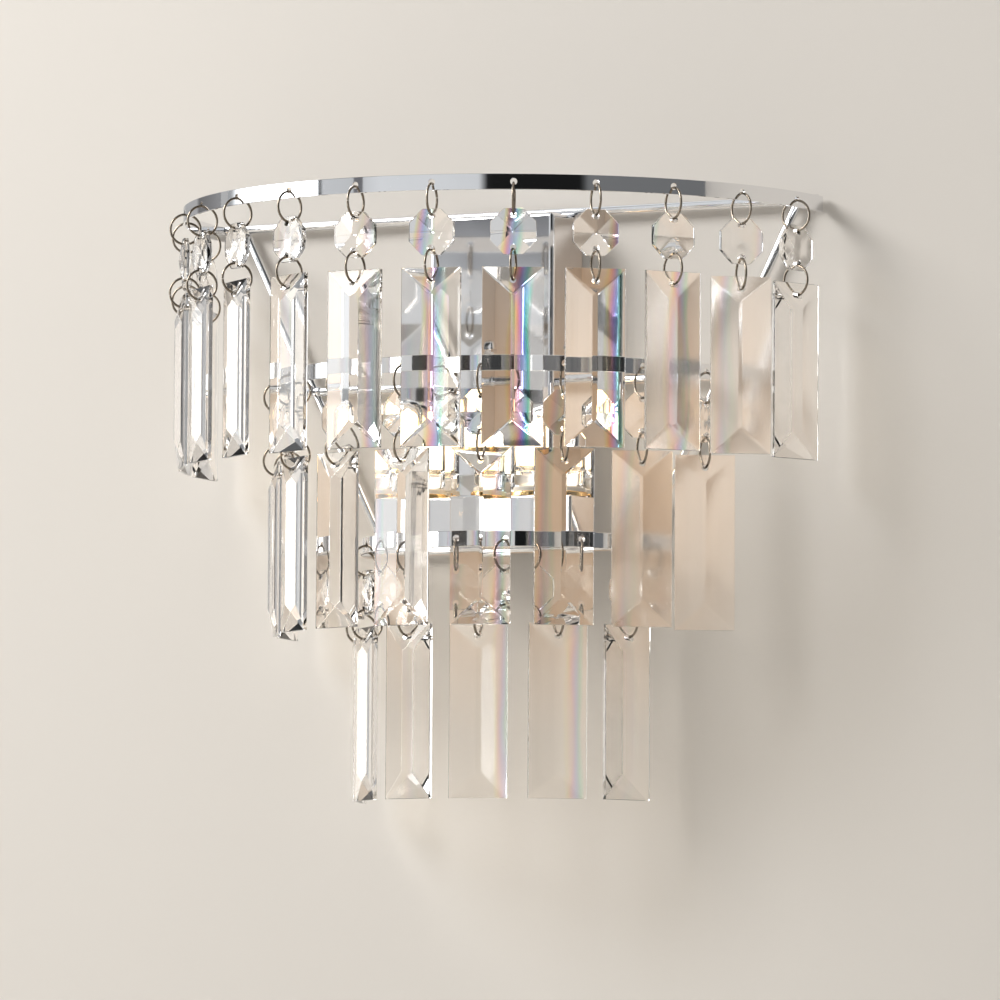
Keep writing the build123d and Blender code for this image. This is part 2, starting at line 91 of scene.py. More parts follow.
# Settings
class DropletSettings(bpy.types.PropertyGroup):
    """Sizes and looks of the rings, beads and prisms."""

    ring_diameter: FloatProperty(
        name="Ring diameter", description="Across the middle of the ring's wire",
        default=0.0124, unit="LENGTH",
    )
    ring_wire: FloatProperty(
        name="Ring wire", description="Thickness of the ring's wire", default=0.001, unit="LENGTH"
    )
    ring_split: FloatProperty(
        name="Ring split", description="Width of the cut in a jump ring",
        default=0.00018, unit="LENGTH",
    )
    hole: FloatProperty(
        name="Hole", description="Bore of the beads and prisms", default=0.0026, unit="LENGTH"
    )
    bead_size: FloatProperty(
        name="Bead size", description="Octagon bead over its flats", default=0.0184, unit="LENGTH"
    )
    bead_thickness: FloatProperty(
        name="Bead thickness", description="Bead at its middle", default=0.0055, unit="LENGTH"
    )
    bead_edge: FloatProperty(
        name="Bead edge", description="Bead at its corners", default=0.0018, unit="LENGTH"
    )
    bead_hole_spacing: FloatProperty(
        name="Bead hole spacing", description="Between the bead's two bores",
        default=0.0129, unit="LENGTH",
    )
    prism_length: FloatProperty(
        name="Prism length", description="Long prism, end to end", default=0.0713, unit="LENGTH"
    )
    prism_width: FloatProperty(
        name="Prism width", description="Prism over its thin edges", default=0.0245, unit="LENGTH"
    )
    prism_thickness: FloatProperty(
        name="Prism thickness", description="Prism over its two ridges",
        default=0.0083, unit="LENGTH",
    )
    prism_edge: FloatProperty(
        name="Prism edge", description="Thickness of the thin edges", default=0.0016, unit="LENGTH"
    )
    prism_hip: FloatProperty(
        name="Prism hip", description="Length of the sloping ends", default=0.011, unit="LENGTH"
    )
    prism_hole_drop: FloatProperty(
        name="Prism hole drop", description="From the top edge down to the bore",
        default=0.0054, unit="LENGTH",
    )
    edge_softness: FloatProperty(
        name="Edge softness", description="Width of the polished edges between facets",
        default=0.00014, unit="LENGTH",
    )
    acrylic_color: FloatVectorProperty(
        name="Acrylic", description="Tint of the clear acrylic",
        default=(1.0, 0.975, 0.945), size=3, subtype="COLOR",
    )
    # Width of the painted rainbow of dispersed light across a facet
    painted_rainbow_width: FloatProperty(
        name="Rainbow width", description="Width of the colours that a prism throws",
        default=0.0075, unit="LENGTH",
    )
    acrylic_roughness: FloatProperty(
        name="Acrylic roughness", description="Softness of what shows through",
        default=0.02, subtype="FACTOR",
    )
    wire_color: FloatVectorProperty(
        name="Ring metal", description="Dark nickel of the rings",
        default=(0.3, 0.255, 0.205), size=3, subtype="COLOR",
    )


class MetalSettings(bpy.types.PropertyGroup):
    """Sizes and looks of the bands, rods, box and foot."""

    chrome_color: FloatVectorProperty(
        name="Chrome", description="Colour of the polished plating",
        default=(0.86, 0.86, 0.87), size=3, subtype="COLOR",
    )
    chrome_roughness: FloatProperty(
        name="Chrome roughness", description="Softness of its reflections",
        default=0.035, subtype="FACTOR",
    )
    band_hole: FloatProperty(
        name="Band hole", description="Bore for a ring", default=0.0028, unit="LENGTH"
    )
    band_softness: FloatProperty(
        name="Band edge", description="Rounding of the strip's edges",
        default=0.00016, unit="LENGTH",
    )
    box_corner: FloatProperty(
        name="Box corner", description="Radius of the box's edges", default=0.002, unit="LENGTH"
    )
    box_wall: FloatProperty(
        name="Box wall", description="Sheet of the wall box", default=0.0012, unit="LENGTH"
    )
    foot_corner: FloatProperty(
        name="Foot corner", description="Radius of the lamp foot's edges",
        default=0.0012, unit="LENGTH",
    )
    foot_wall: FloatProperty(
        name="Foot wall", description="Sheet of the lamp foot", default=0.001, unit="LENGTH"
    )
    weld_size: FloatProperty(
        name="Weld", description="How far a weld stands out", default=0.0005, unit="LENGTH"
    )
    gold_color: FloatVectorProperty(
        name="Gold", description="Colour of the collars",
        default=(0.95, 0.68, 0.32), size=3, subtype="COLOR",
    )


class LampSettings(bpy.types.PropertyGroup):
    """Sizes and looks of the capsule lamps."""

    glass_wall: FloatProperty(
        name="Glass wall", description="Thickness of the tube", default=0.0009, unit="LENGTH"
    )
    burner_diameter: FloatProperty(
        name="Burner", description="Glowing inner capsule, across", default=0.0092, unit="LENGTH"
    )
    glow_color: FloatVectorProperty(
        name="Glow", description="Light of the burner",
        default=(1.0, 0.83, 0.55), size=3, subtype="COLOR",
    )
    edge_color: FloatVectorProperty(
        name="Glow edge", description="Light at the burner's edge",
        default=(1.0, 0.55, 0.2), size=3, subtype="COLOR",
    )
    glow_strength: FloatProperty(
        name="Glow strength", description="Brightness of the burner", default=4.0, min=0.0
    )


class StageSettings(bpy.types.PropertyGroup):
    """The wall, floor, light and camera."""

    wall_color: FloatVectorProperty(
        name="Wall", description="Paint behind the light",
        default=(0.8, 0.767, 0.725), size=3, subtype="COLOR",
    )
    floor_color: FloatVectorProperty(
        name="Floor", description="Plain floor", default=(0.8, 0.77, 0.72), size=3, subtype="COLOR"
    )
    ambient: FloatProperty(
        name="Ambient", description="Even light from all round", default=0.36, min=0.0
    )
    key_power: FloatProperty(
        name="Key light", description="Softbox on the left", default=31.0, unit="POWER"
    )
    # Colour of the painted warm glow of the lamps, an emission on the wall seen only in what shines and
    # through the prisms
    glow_color: FloatVectorProperty(
        name="Warm glow", description="Lamp light on the wall, as it shows through and in what shines",
        default=(0.24, 0.125, 0.045), size=3, subtype="COLOR",
    )
    softbox_gain: FloatProperty(
        name="Softbox gain", description="How much brighter than the room the softbox looks in what shines",
        default=6.0,
    )
    floor_drop: FloatProperty(
        name="Floor drop", description="Floor below the light", default=0.6, unit="LENGTH"
    )
    camera_distance: FloatProperty(
        name="Camera distance", description="Level distance from the wall mark",
        default=3.0, unit="LENGTH",
    )
    camera_turn: FloatProperty(
        name="Camera turn", description="How far right of square on",
        default=radians(28.1), subtype="ANGLE",
    )
    camera_height: FloatProperty(
        name="Camera height", description="Against the light's origin",
        default=-0.2685, unit="LENGTH",
    )
    camera_roll: FloatProperty(
        name="Camera roll", description="Tilt of the frame", default=radians(0.38), subtype="ANGLE"
    )
    camera_lens: FloatProperty(
        name="Lens", description="Focal length in millimetres", default=260.8, min=1.0
    )


def droplet_settings():
    return bpy.context.scene.droplet_settings


def metal_settings():
    return bpy.context.scene.metal_settings


def lamp_settings():
    return bpy.context.scene.lamp_settings


def stage_settings():
    return bpy.context.scene.stage_settings


# Shader maths
class Value:
    """An output socket of a node tree that sums can be written with."""

    def __init__(self, tree, socket):
        self.tree = tree
        self.socket = socket

    def sum(self, operation, first, second):
        return self.tree.add("ShaderNodeMath", {"operation": operation}, {0: first, 1: second})

    def __add__(self, other):
        return self.sum("ADD", self, other)

    def __radd__(self, other):
        return self.sum("ADD", other, self)

    def __sub__(self, other):
        return self.sum("SUBTRACT", self, other)

    def __rsub__(self, other):
        return self.sum("SUBTRACT", other, self)

    def __mul__(self, other):
        return self.sum("MULTIPLY", self, other)

    def __rmul__(self, other):
        return self.sum("MULTIPLY", other, self)

    def __truediv__(self, other):
        return self.sum("DIVIDE", self, other)

    def __gt__(self, other):
        return self.sum("GREATER_THAN", self, other)

    def __lt__(self, other):
        return self.sum("LESS_THAN", self, other)


class Nodes:
    """A node tree of a material or the world, emptied and ready to fill."""

    def __init__(self, owner):
        self.tree = owner.node_tree
        self.tree.nodes.clear()

    def add(self, kind, settings=None, sockets=None, output=0):
        """Adds a node, with its settings first and then the values or links of its sockets."""
        node = self.tree.nodes.new(kind)
        for name, value in (settings or {}).items():
            if name == "stops":
                self.set_stops(node.color_ramp, value)
            else:
                setattr(node, name, value)
        for name, value in (sockets or {}).items():
            if isinstance(value, Value):
                self.tree.links.new(value.socket, node.inputs[name])
            else:
                node.inputs[name].default_value = value
        return Value(self, node.outputs[output]) if node.outputs else None

    def set_stops(self, ramp, stops):
        """Stops are pairs of a position and a grey or a colour."""
        while len(ramp.elements) < len(stops):
            ramp.elements.new(1.0)
        for element, (position, color) in zip(ramp.elements, stops):
            element.position = position
            element.color = rgba(color)

    def noise(self, scale, detail=2.0, stretch=(1.0, 1.0, 1.0)):
        """Soft noise from 0 to 1 that can be stretched along an axis."""
        place = self.add("ShaderNodeTexCoord", output="Object")
        place = self.add("ShaderNodeMapping", {}, {"Vector": place, "Scale": stretch})
        return self.add("ShaderNodeTexNoise", {}, {"Vector": place, "Scale": scale, "Detail": detail})

    def blend(self, factor, first, second):
        """Mixes two colours."""
        sockets = {0: factor, 6: rgba_or_value(first), 7: rgba_or_value(second)}
        return self.add("ShaderNodeMix", {"data_type": "RGBA"}, sockets, output=2)

    def across(self):
        """How far right of its origin a point of the piece is."""
        return self.parts(self.add("ShaderNodeTexCoord", output="Object"))[0]

    def parts(self, vector):
        """The X, Y and Z of a vector."""
        first = self.add("ShaderNodeSeparateXYZ", {}, {0: vector})
        return [Value(self, socket) for socket in first.socket.node.outputs]

    def rise(self, value, start, end):
        """0 up to the start, then an even climb to 1 at the end."""
        return self.add("ShaderNodeMapRange", {"clamp": True}, {0: value, 1: start, 2: end, 3: 0, 4: 1})

    def scattered(self):
        """1 on a ray that a matt surface has sent on, which only lights the scene."""
        return self.ray("Diffuse Depth") > 0.5

    def within(self, value, low, high):
        """1 where a value lies between two others."""
        return (value > low) * (value < high)

    def bump(self, height, strength, distance):
        sockets = {"Height": height, "Strength": strength, "Distance": distance}
        return self.add("ShaderNodeBump", {}, sockets)

    def property(self, name):
        """A number that each piece carries under this name."""
        settings = {"attribute_type": "OBJECT", "attribute_name": name}
        return self.add("ShaderNodeAttribute", settings, output="Fac")

    def ray(self, name):
        return self.add("ShaderNodeLightPath", output=name)

    def surface(self, shader):
        self.add("ShaderNodeOutputMaterial", {}, {"Surface": shader})

    def coat(self, sockets):
        """Ends the tree with a surface that has these values or links."""
        self.surface(self.add("ShaderNodeBsdfPrincipled", {}, sockets))

    def clear_coat(self, sockets, shadow):
        """Ends the tree with a clear surface that lets light of the shadow's colour through."""
        solid = self.add("ShaderNodeBsdfPrincipled", {}, sockets)
        clear = self.add("ShaderNodeBsdfTransparent", {}, {"Color": rgba(shadow)})
        self.surface(self.add("ShaderNodeMixShader", {}, {0: self.ray("Is Shadow Ray"), 1: solid, 2: clear}))


def rgba(color):
    """A grey or a colour with its alpha."""
    if isinstance(color, (int, float)):
        color = (color, color, color)
    return (color[0], color[1], color[2], 1.0)


def rgba_or_value(color):
    return color if isinstance(color, Value) else rgba(color)


def dimmed(color, share):
    return tuple(share * part for part in color)


def material_for(name, fill):
    """The material of this name, made once. A function fills in its nodes."""
    material = bpy.data.materials.get(name)
    if material is None:
        material = bpy.data.materials.new(name)
        material.use_nodes = True
        fill(Nodes(material))
    return material


# Painted rainbow: the colours of dispersed light that a prism's edge throws across a facet, painted into the
# acrylic's base colour
PAINTED_RAINBOW_SPECTRUM = (
    (0.0, (1.0, 0.975, 0.945)), (0.14, (1.0, 0.9, 0.3)), (0.3, (1.0, 0.36, 0.28)),
    (0.46, (0.62, 0.22, 0.86)), (0.62, (0.14, 0.34, 1.0)), (0.82, (0.12, 0.85, 0.62)),
    (1.0, (1.0, 0.975, 0.945)),
)


# Materials
def make_chrome(nodes):
    """Polished plating with faint wiping marks and a slight waviness."""
    look = metal_settings()
    marks = nodes.noise(55.0, detail=4.0, stretch=(1.0, 1.0, 0.35))
    waves = nodes.noise(26.0, detail=1.0)
    nodes.coat({
        "Base Color": nodes.blend(marks, look.chrome_color, dimmed(look.chrome_color, 0.94)),
        "Metallic": 1.0,
        "Roughness": look.chrome_roughness + 0.03 * marks,
        "Normal": nodes.bump(waves, 0.12, 0.0006),
    })


def make_ring_metal(nodes):
    """Dark nickel wire, a little brown in places."""
    look = droplet_settings()
    patches = nodes.noise(420.0, detail=3.0)
    nodes.coat({
        "Base Color": nodes.blend(patches, look.wire_color, dimmed(look.wire_color, 0.72)),
        "Metallic": 1.0,
        "Roughness": 0.14 + 0.16 * patches,
        "Normal": nodes.bump(patches, 0.1, 0.0001),
    })


def make_acrylic(nodes):
    """Clear moulded acrylic with fine lengthwise flow lines, a painted rainbow of dispersed light in its
    colour and, on some pieces, milk.
    """
    look = droplet_settings()
    flow = nodes.noise(900.0, detail=3.0, stretch=(1.0, 1.0, 0.05))
    cloud = nodes.noise(160.0, detail=2.0, stretch=(1.0, 1.0, 0.4))
    chance = nodes.add("ShaderNodeObjectInfo", output="Random")
    fire = nodes.property("fire")
    wander = nodes.noise(70.0, detail=1.0, stretch=(1.0, 1.0, 0.3))
    # Painted rainbow: dispersed light painted as streaks of colour along the piece, strongest on droplets
    # facing the camera
    streak = nodes.across() / look.painted_rainbow_width + 1.3 * wander + 3.0 * chance - 1.6
    rainbow = nodes.add("ShaderNodeValToRGB", {"stops": PAINTED_RAINBOW_SPECTRUM}, {0: streak})
    # The acrylic's own colour mixed with the painted rainbow of dispersed light
    tint_and_painted_rainbow = nodes.blend(fire * nodes.rise(wander, 0.33, 0.42), look.acrylic_color, rainbow)
    milk = nodes.property("milk")
    grain = nodes.noise(1500.0, detail=3.0, stretch=(1.0, 1.0, 0.12))
    nodes.clear_coat({
        "Base Color": nodes.blend(0.25 * cloud, tint_and_painted_rainbow, dimmed(look.acrylic_color, 0.9)),
        "Roughness": look.acrylic_roughness * cloud + milk * (0.16 + 0.1 * grain),
        "IOR": 1.49,
        "Transmission Weight": 1.0,
        "Normal": nodes.bump(flow + 5.0 * milk * grain, 0.02, 0.0001),
    }, shadow=(0.66, 0.64, 0.61))


def make_gold(nodes):
    """Polished gold plating."""
    look = metal_settings()
    marks = nodes.noise(240.0, detail=3.0)
    nodes.coat({
        "Base Color": nodes.blend(marks, look.gold_color, dimmed(look.gold_color, 0.86)),
        "Metallic": 1.0,
        "Roughness": 0.1 + 0.1 * marks,
        "Normal": nodes.bump(marks, 0.08, 0.0002),
    })


def make_ceramic(nodes):
    """Unglazed white ceramic with fine pores."""
    pores = nodes.noise(2600.0, detail=4.0)
    stain = nodes.noise(120.0)
    nodes.coat({
        "Base Color": nodes.blend(stain, (0.86, 0.84, 0.8), (0.78, 0.75, 0.7)),
        "Roughness": 0.55 + 0.2 * pores,
        "Normal": nodes.bump(pores, 0.3, 0.0002),
    })


def make_lamp_glass(nodes):
    """Clear drawn quartz with faint streaks along the tube."""
    streaks = nodes.noise(700.0, detail=2.0, stretch=(1.0, 1.0, 0.06))
    nodes.clear_coat({
        "Base Color": nodes.blend(streaks, (1.0, 0.99, 0.97), (0.97, 0.95, 0.92)),
        "Roughness": 0.01 + 0.03 * streaks,
        "IOR": 1.46,
        "Transmission Weight": 1.0,
        "Normal": nodes.bump(streaks, 0.06, 0.0001),
    }, shadow=(0.97, 0.96, 0.94))


def make_glow(nodes):
    """The burner's light: near white in the middle, orange towards its outline and its ends."""
    look = lamp_settings()
    outline = nodes.add("ShaderNodeLayerWeight", {}, {"Blend": 0.35}, output="Facing")
    frost = nodes.noise(500.0)
    color = nodes.blend(outline, look.glow_color, look.edge_color)
    nodes.coat({
        "Base Color": nodes.blend(frost, (0.9, 0.82, 0.7), (0.8, 0.7, 0.55)),
        "Roughness": 0.3 + 0.2 * frost,
        "Emission Color": color,
        "Emission Strength": look.glow_strength,
    })


def make_pin_metal(nodes):
    """Drawn molybdenum wire of the pins and the pinch foils."""
    lines = nodes.noise(900.0, stretch=(1.0, 1.0, 0.1))
    nodes.coat({
        "Base Color": nodes.blend(lines, (0.66, 0.64, 0.6), (0.48, 0.46, 0.43)),
        "Metallic": 1.0,
        "Roughness": 0.22 + 0.2 * lines,
        "Normal": nodes.bump(lines, 0.15, 0.0001),
    })


def make_zinc(nodes):
    """Bright zinc plate with soft cloudy spangle and fine rolling lines."""
    cloud = nodes.noise(90.0, detail=3.0)
    lines = nodes.noise(1400.0, detail=2.0, stretch=(1.0, 1.0, 0.03))
    nodes.coat({
        "Base Color": nodes.blend(cloud, (0.66, 0.67, 0.69), (0.5, 0.51, 0.53)),
        "Metallic": 1.0,
        "Roughness": 0.26 + 0.12 * cloud + 0.08 * lines,
        "Normal": nodes.bump(lines, 0.12, 0.0001),
    })


def make_brass(nodes):
    """Turned brass, a little dulled."""
    dull = nodes.noise(380.0, detail=3.0)
    nodes.coat({
        "Base Color": nodes.blend(dull, (0.78, 0.58, 0.26), (0.6, 0.43, 0.19)),
        "Metallic": 1.0,
        "Roughness": 0.25 + 0.2 * dull,
        "Normal": nodes.bump(dull, 0.1, 0.0001),
    })


def make_white_plastic(nodes):
    """Moulded white plastic with a fine eggshell grain."""
    grain = nodes.noise(1800.0, detail=3.0)
    nodes.coat({
        "Base Color": nodes.blend(grain, (0.84, 0.84, 0.81), (0.79, 0.79, 0.75)),
        "Roughness": 0.38 + 0.12 * grain,
        "Normal": nodes.bump(grain, 0.15, 0.0001),
    })


def make_rubber(nodes):
    """Matt black rubber, a little dusty."""
    dust = nodes.noise(300.0, detail=4.0)
    nodes.coat({
        "Base Color": nodes.blend(dust, (0.025, 0.025, 0.026), (0.06, 0.058, 0.055)),
        "Roughness": 0.62 + 0.2 * dust,
        "Normal": nodes.bump(dust, 0.2, 0.0002),
    })


def chrome():
    return material_for("chrome", make_chrome)


def zinc():
    return material_for("bright_zinc", make_zinc)


# Meshes
def add_piece(name, mesh, material, body, replaced=(), place=None):
    """Puts a mesh into the scene as a piece that rides on a body."""
    piece = bpy.data.objects.new(name, mesh)
    bpy.context.scene.collection.objects.link(piece)
    if not mesh.materials:
        mesh.materials.append(material)
    if place is not None:
        piece.matrix_world = place
    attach(piece, body)
    if replaced:
        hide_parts(*replaced)
    return piece


def plain_mesh(name, shape):
    """Turns a bmesh into a mesh as it is."""
    mesh = bpy.data.meshes.new(name)
    shape.to_mesh(mesh)
    shape.free()
    return mesh


def to_mesh(name, shape, sharp_angle=None):
    """Turns a bmesh into a mesh, flat shaded or smooth up to an angle."""
    bmesh.ops.recalc_face_normals(shape, faces=shape.faces[:])
    mesh = plain_mesh(name, shape)
    if sharp_angle is not None:
        shade(mesh, sharp_angle)
    return mesh


def shade(mesh, sharp_angle):
    """Smooth shading with sharp edges from an angle up."""
    mesh.shade_smooth()
    mesh.set_sharp_from_angle(angle=sharp_angle)


def add_hull(shape, points):
    """Adds the convex form round some points, with its coplanar triangles joined."""
    corners = [shape.verts.new(point) for point in points]
    bmesh.ops.convex_hull(shape, input=corners)
    bmesh.ops.dissolve_limit(shape, angle_limit=radians(0.5), verts=shape.verts[:], edges=shape.edges[:])


def add_block(shape, centre, size):
    """Adds a plain box."""
    bmesh.ops.create_cube(shape, size=1.0, matrix=Matrix.LocRotScale(Vector(centre), None, size))


def soften(shape, width, segments=1):
    """Takes the edge off along every edge: a narrow flat, or a round one with more segments."""
    bmesh.ops.bevel(
        shape, geom=shape.edges[:], offset=width, offset_type="OFFSET",
        segments=segments, profile=0.5, affect="EDGES",
    )


def swept(sections):
    """A bar with closed ends through a row of sections, each a list of points."""
    shape = bmesh.new()
    hoops = [[shape.verts.new(point) for point in section] for section in sections]
    for near, far in zip(hoops, hoops[1:]):
        join_rings(shape, near, far, len(near))
    shape.faces.new(hoops[0])
    shape.faces.new(hoops[-1])
    return shape


def turned_shape(profile, steps):
    """Revolves a profile of radius and height pairs about Z. A radius of 0 closes it."""
    shape = bmesh.new()
    rings = []
    for radius, height in profile:
        if radius == 0:
            rings.append([shape.verts.new((0, 0, height))])
            continue
        turns = [2 * pi * step / steps for step in range(steps)]
        rings.append([shape.verts.new((radius * cos(t), radius * sin(t), height)) for t in turns])
    for lower, upper in zip(rings, rings[1:]):
        join_rings(shape, lower, upper, steps)
    return shape, rings


def join_rings(shape, lower, upper, steps):
    """Faces between two rings of a turned shape, either of which may be a point."""
    for step in range(steps):
        after = (step + 1) % steps
        corners = [lower[step % len(lower)], lower[after % len(lower)]]
        corners += [upper[after % len(upper)], upper[step % len(upper)]]
        corners = list(dict.fromkeys(corners))
        if len(corners) > 2:
            shape.faces.new(corners)


def turned_tube(profile, steps):
    """Revolves a closed outline of radius and height pairs."""
    shape, rings = turned_shape(profile, steps)
    join_rings(shape, rings[-1], rings[0], steps)
    return shape


def bar_shape(length, diameter, steps=28, softness=0.0003):
    """A round bar along Z from 0, with softened ends."""
    radius = diameter / 2
    profile = [(0, 0), (radius - softness, 0), (radius - 0.3 * softness, 0.3 * softness), (radius, softness)]
    profile += [(radius, length - softness), (radius - 0.3 * softness, length - 0.3 * softness)]
    profile += [(radius - softness, length), (0, length)]
    return turned_shape(profile, steps)[0]


def along(start, end):
    """A place that carries Z from start towards end."""
    way = Vector(end) - Vector(start)
    return Matrix.Translation(start) @ way.to_track_quat("Z", "Y").to_matrix().to_4x4()


def merge(shape, other, place=None):
    """Adds another shape's faces to this one."""
    if place is not None:
        other.transform(place)
    mesh = plain_mesh("merge", other)
    shape.from_mesh(mesh)
    bpy.data.meshes.remove(mesh)


def cut(mesh, cutter):
    """Cuts a shape out of a mesh and returns the result as a new mesh."""
    bmesh.ops.recalc_face_normals(cutter, faces=cutter.faces[:])
    tool_mesh = plain_mesh("cutter", cutter)
    tool = bpy.data.objects.new("cutter", tool_mesh)
    blank = bpy.data.objects.new("blank", mesh)
    for thing in (tool, blank):
        bpy.context.scene.collection.objects.link(thing)
    difference = blank.modifiers.new("cut", "BOOLEAN")
    difference.operation = "DIFFERENCE"
    difference.solver = "EXACT"
    difference.object = tool
    bpy.context.view_layer.update()
    seen = blank.evaluated_get(bpy.context.evaluated_depsgraph_get())
    result = bpy.data.meshes.new_from_object(seen)
    for thing in (tool, blank):
        bpy.data.objects.remove(thing)
    name = mesh.name
    for spare in (tool_mesh, mesh):
        bpy.data.meshes.remove(spare)
    result.name = name
    return result


def bore(shape, start, end, diameter, steps=20):
    """Adds a round cutter between two points."""
    other = bar_shape((Vector(end) - Vector(start)).length, diameter, steps, 0.00001)
    merge(shape, other, along(start, end))


def set_normals(mesh, normal_at, closeness=0.86):
    """Gives smooth faces the true normals of their surface, and leaves the others flat."""
    normals = []
    for face in mesh.polygons:
        for loop in face.loop_indices:
            point = mesh.vertices[mesh.loops[loop].vertex_index].co
            true_normal = normal_at(point, face.normal)
            close = true_normal is not None and true_normal.dot(face.normal) > closeness
            normals.append(true_normal if close else face.normal.copy())
    mesh.shade_smooth()
    mesh.normals_split_custom_set([tuple(n) for n in normals])


# Where the frame's nodes are
def middle_of(node):
    low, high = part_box(node)
    return (Vector(low) + Vector(high)) / 2


def size_of(node):
    low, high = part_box(node)
    return Vector(high) - Vector(low)


def droplet_name(joint):
    return joint["name"][: -len("_swing")]


def droplet_place(joint):
    """The top of the upper ring's wire circle, with X along the band and Y towards the wall."""
    across = -Vector(joint["axis"])
    up = Vector((0, 0, 1))
    inward = up.cross(across)
    place = Matrix((across, inward, up)).transposed().to_4x4()
    return Matrix.Translation(joint["pos_m"]) @ place


def droplet_turn(joint, share):
    """How far a piece of this droplet has turned about its hanging line."""
    name = droplet_name(joint)
    loose = random.Random(name).uniform(-1.6, 1.6)
    return Matrix.Rotation(radians(loose - TURNED_DROPLETS.get(name, 0.0)) * share, 4, "Z")


def hung(joint, level, share):
    """The place of a droplet's piece at a level below its hinge, with its share of the turn."""
    return droplet_place(joint) @ Matrix.Translation((0, 0, level)) @ droplet_turn(joint, share)


def off_camera_axis(joint):
    """How far round the light from the camera's side a droplet hangs."""
    return atan2(-joint["pos_m"][1], joint["pos_m"][0]) - (pi / 2 - stage_settings().camera_turn)


def ring_lean(joint):
    """Which way a loose ring lies: a little more open to the camera."""
    return -1 if off_camera_axis(joint) > 0 else 1


def painted_rainbow_strength(joint):
    """How strongly a droplet shows the painted rainbow of dispersed light: most where it faces the camera,
    and more in the top tier.
    """
    facing = max(0.0, 1.0 - abs(off_camera_axis(joint)) / radians(50.0))
    return facing if joint["name"].startswith(TIERS[0]) else 0.4 * facing


def hanging_levels(joint):
    """Levels below the hinge: upper ring, bead, lower ring and the prism's top edge."""
    look = droplet_settings()
    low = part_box(droplet_name(joint))[0]
    prism_top = low[2] + look.prism_length - joint["pos_m"][2]
    prism_hole = prism_top - look.prism_hole_drop
    inner_radius = (look.ring_diameter - look.ring_wire) / 2
    rise = (look.prism_thickness - look.prism_edge) / 2
    half_depth = look.prism_edge / 2 + rise * look.prism_hole_drop / look.prism_hip
    curl = inner_radius - sqrt(inner_radius**2 - half_depth**2)
    seat = look.hole / 2 - look.ring_wire / 2 - curl
    lower_wire = prism_hole + seat
    upper_ring = -look.ring_diameter / 2
    lower_ring = lower_wire + look.ring_diameter / 2
    bead = (upper_ring + lower_ring) / 2
    return upper_ring, bead, lower_ring, prism_top


class PieceOperator:
    """What the operators share: each can be undone in one step."""

    bl_options = {"REGISTER", "UNDO"}


class AddJumpRings(PieceOperator, bpy.types.Operator):
    """Add the two split jump rings of every droplet"""

    bl_idname = "wall_light.add_jump_rings"
    bl_label = "Jump Rings"

    def execute(self, context):
        mesh = self.ring_mesh()
        metal = material_for("dark_nickel", make_ring_metal)
        for joint in SWINGS:
            upper, _, lower, _ = hanging_levels(joint)
            spin = random.Random(joint["child"])
            for part, level, share in (("upper_ring", upper, 0.3), ("lower_ring", lower, 0.8)):
                lean = radians(spin.uniform(*RING_LEAN)) * ring_lean(joint)
                cut_turn = spin.uniform(*RING_CUT_TURN) * spin.choice((-1, 1))
                turned = Matrix.Rotation(lean, 4, "Z") @ Matrix.Rotation(cut_turn, 4, "X")
                place = hung(joint, level, share) @ turned
                name = droplet_name(joint) + "_" + part
                add_piece(name, mesh, metal, joint["child"], [droplet_name(joint)], place)
        return {"FINISHED"}

    def ring_mesh(self):
        """A circle of round wire about X with a fine cut at its top."""
        look = droplet_settings()
        radius = look.ring_diameter / 2
        wire = look.ring_wire / 2
        half_cut = look.ring_split / 2 / radius
        steps = 56
        sides = 12
        angles = [2 * pi * side / sides for side in range(sides)]
        outline = [(wire * sin(angle), radius + wire * cos(angle)) for angle in angles]
        sections = []
        for step in range(steps + 1):
            turn = half_cut + (2 * pi - 2 * half_cut) * step / steps
            sections.append([(x, reach * sin(turn), reach * cos(turn)) for x, reach in outline])
        return to_mesh("jump_ring", swept(sections), radians(50))


class AddBeads(PieceOperator, bpy.types.Operator):
    """Add the octagon bead of every droplet"""

    bl_idname = "wall_light.add_beads"
    bl_label = "Octagon Beads"

    def execute(self, context):
        mesh = self.bead_mesh()
        acrylic = material_for("polished_acrylic", make_acrylic)
        for joint in SWINGS:
            _, level, _, _ = hanging_levels(joint)
            name = droplet_name(joint)
            place = hung(joint, level, 0.55)
            bead = add_piece(name + "_bead", mesh, acrylic, joint["child"], [name], place)
            # Share of the painted rainbow of dispersed light on this bead
            bead["fire"] = 0.8 * painted_rainbow_strength(joint)
            bead["milk"] = 0.0
        return {"FINISHED"}

    def bead_mesh(self):
        """Eight facets on each side that run down from the middle to the eight corners."""
        look = droplet_settings()
        flat = look.bead_size / 2
        corner = flat / cos(pi / 8)
        slope = (look.bead_thickness - look.bead_edge) / 2 / corner
        flat_depth = look.bead_thickness / 2 - slope * flat * cos(pi / 8)
        points = []
        for side in (-1, 1):
            points.append((0, side * look.bead_thickness / 2, 0))
            for step in range(8):
                turn = pi / 8 + step * pi / 4
                points.append((corner * cos(turn), side * look.bead_edge / 2, corner * sin(turn)))
                turn = step * pi / 4
                points.append((flat * cos(turn), side * flat_depth, flat * sin(turn)))
        shape = bmesh.new()
        add_hull(shape, points)
        soften(shape, look.edge_softness)
        cutter = bmesh.new()
        for level in (-look.bead_hole_spacing / 2, look.bead_hole_spacing / 2):
            reach = look.bead_thickness
            bore(cutter, (0, -reach, level), (0, reach, level), look.hole)
        return cut(to_mesh("octagon_bead", shape), cutter)


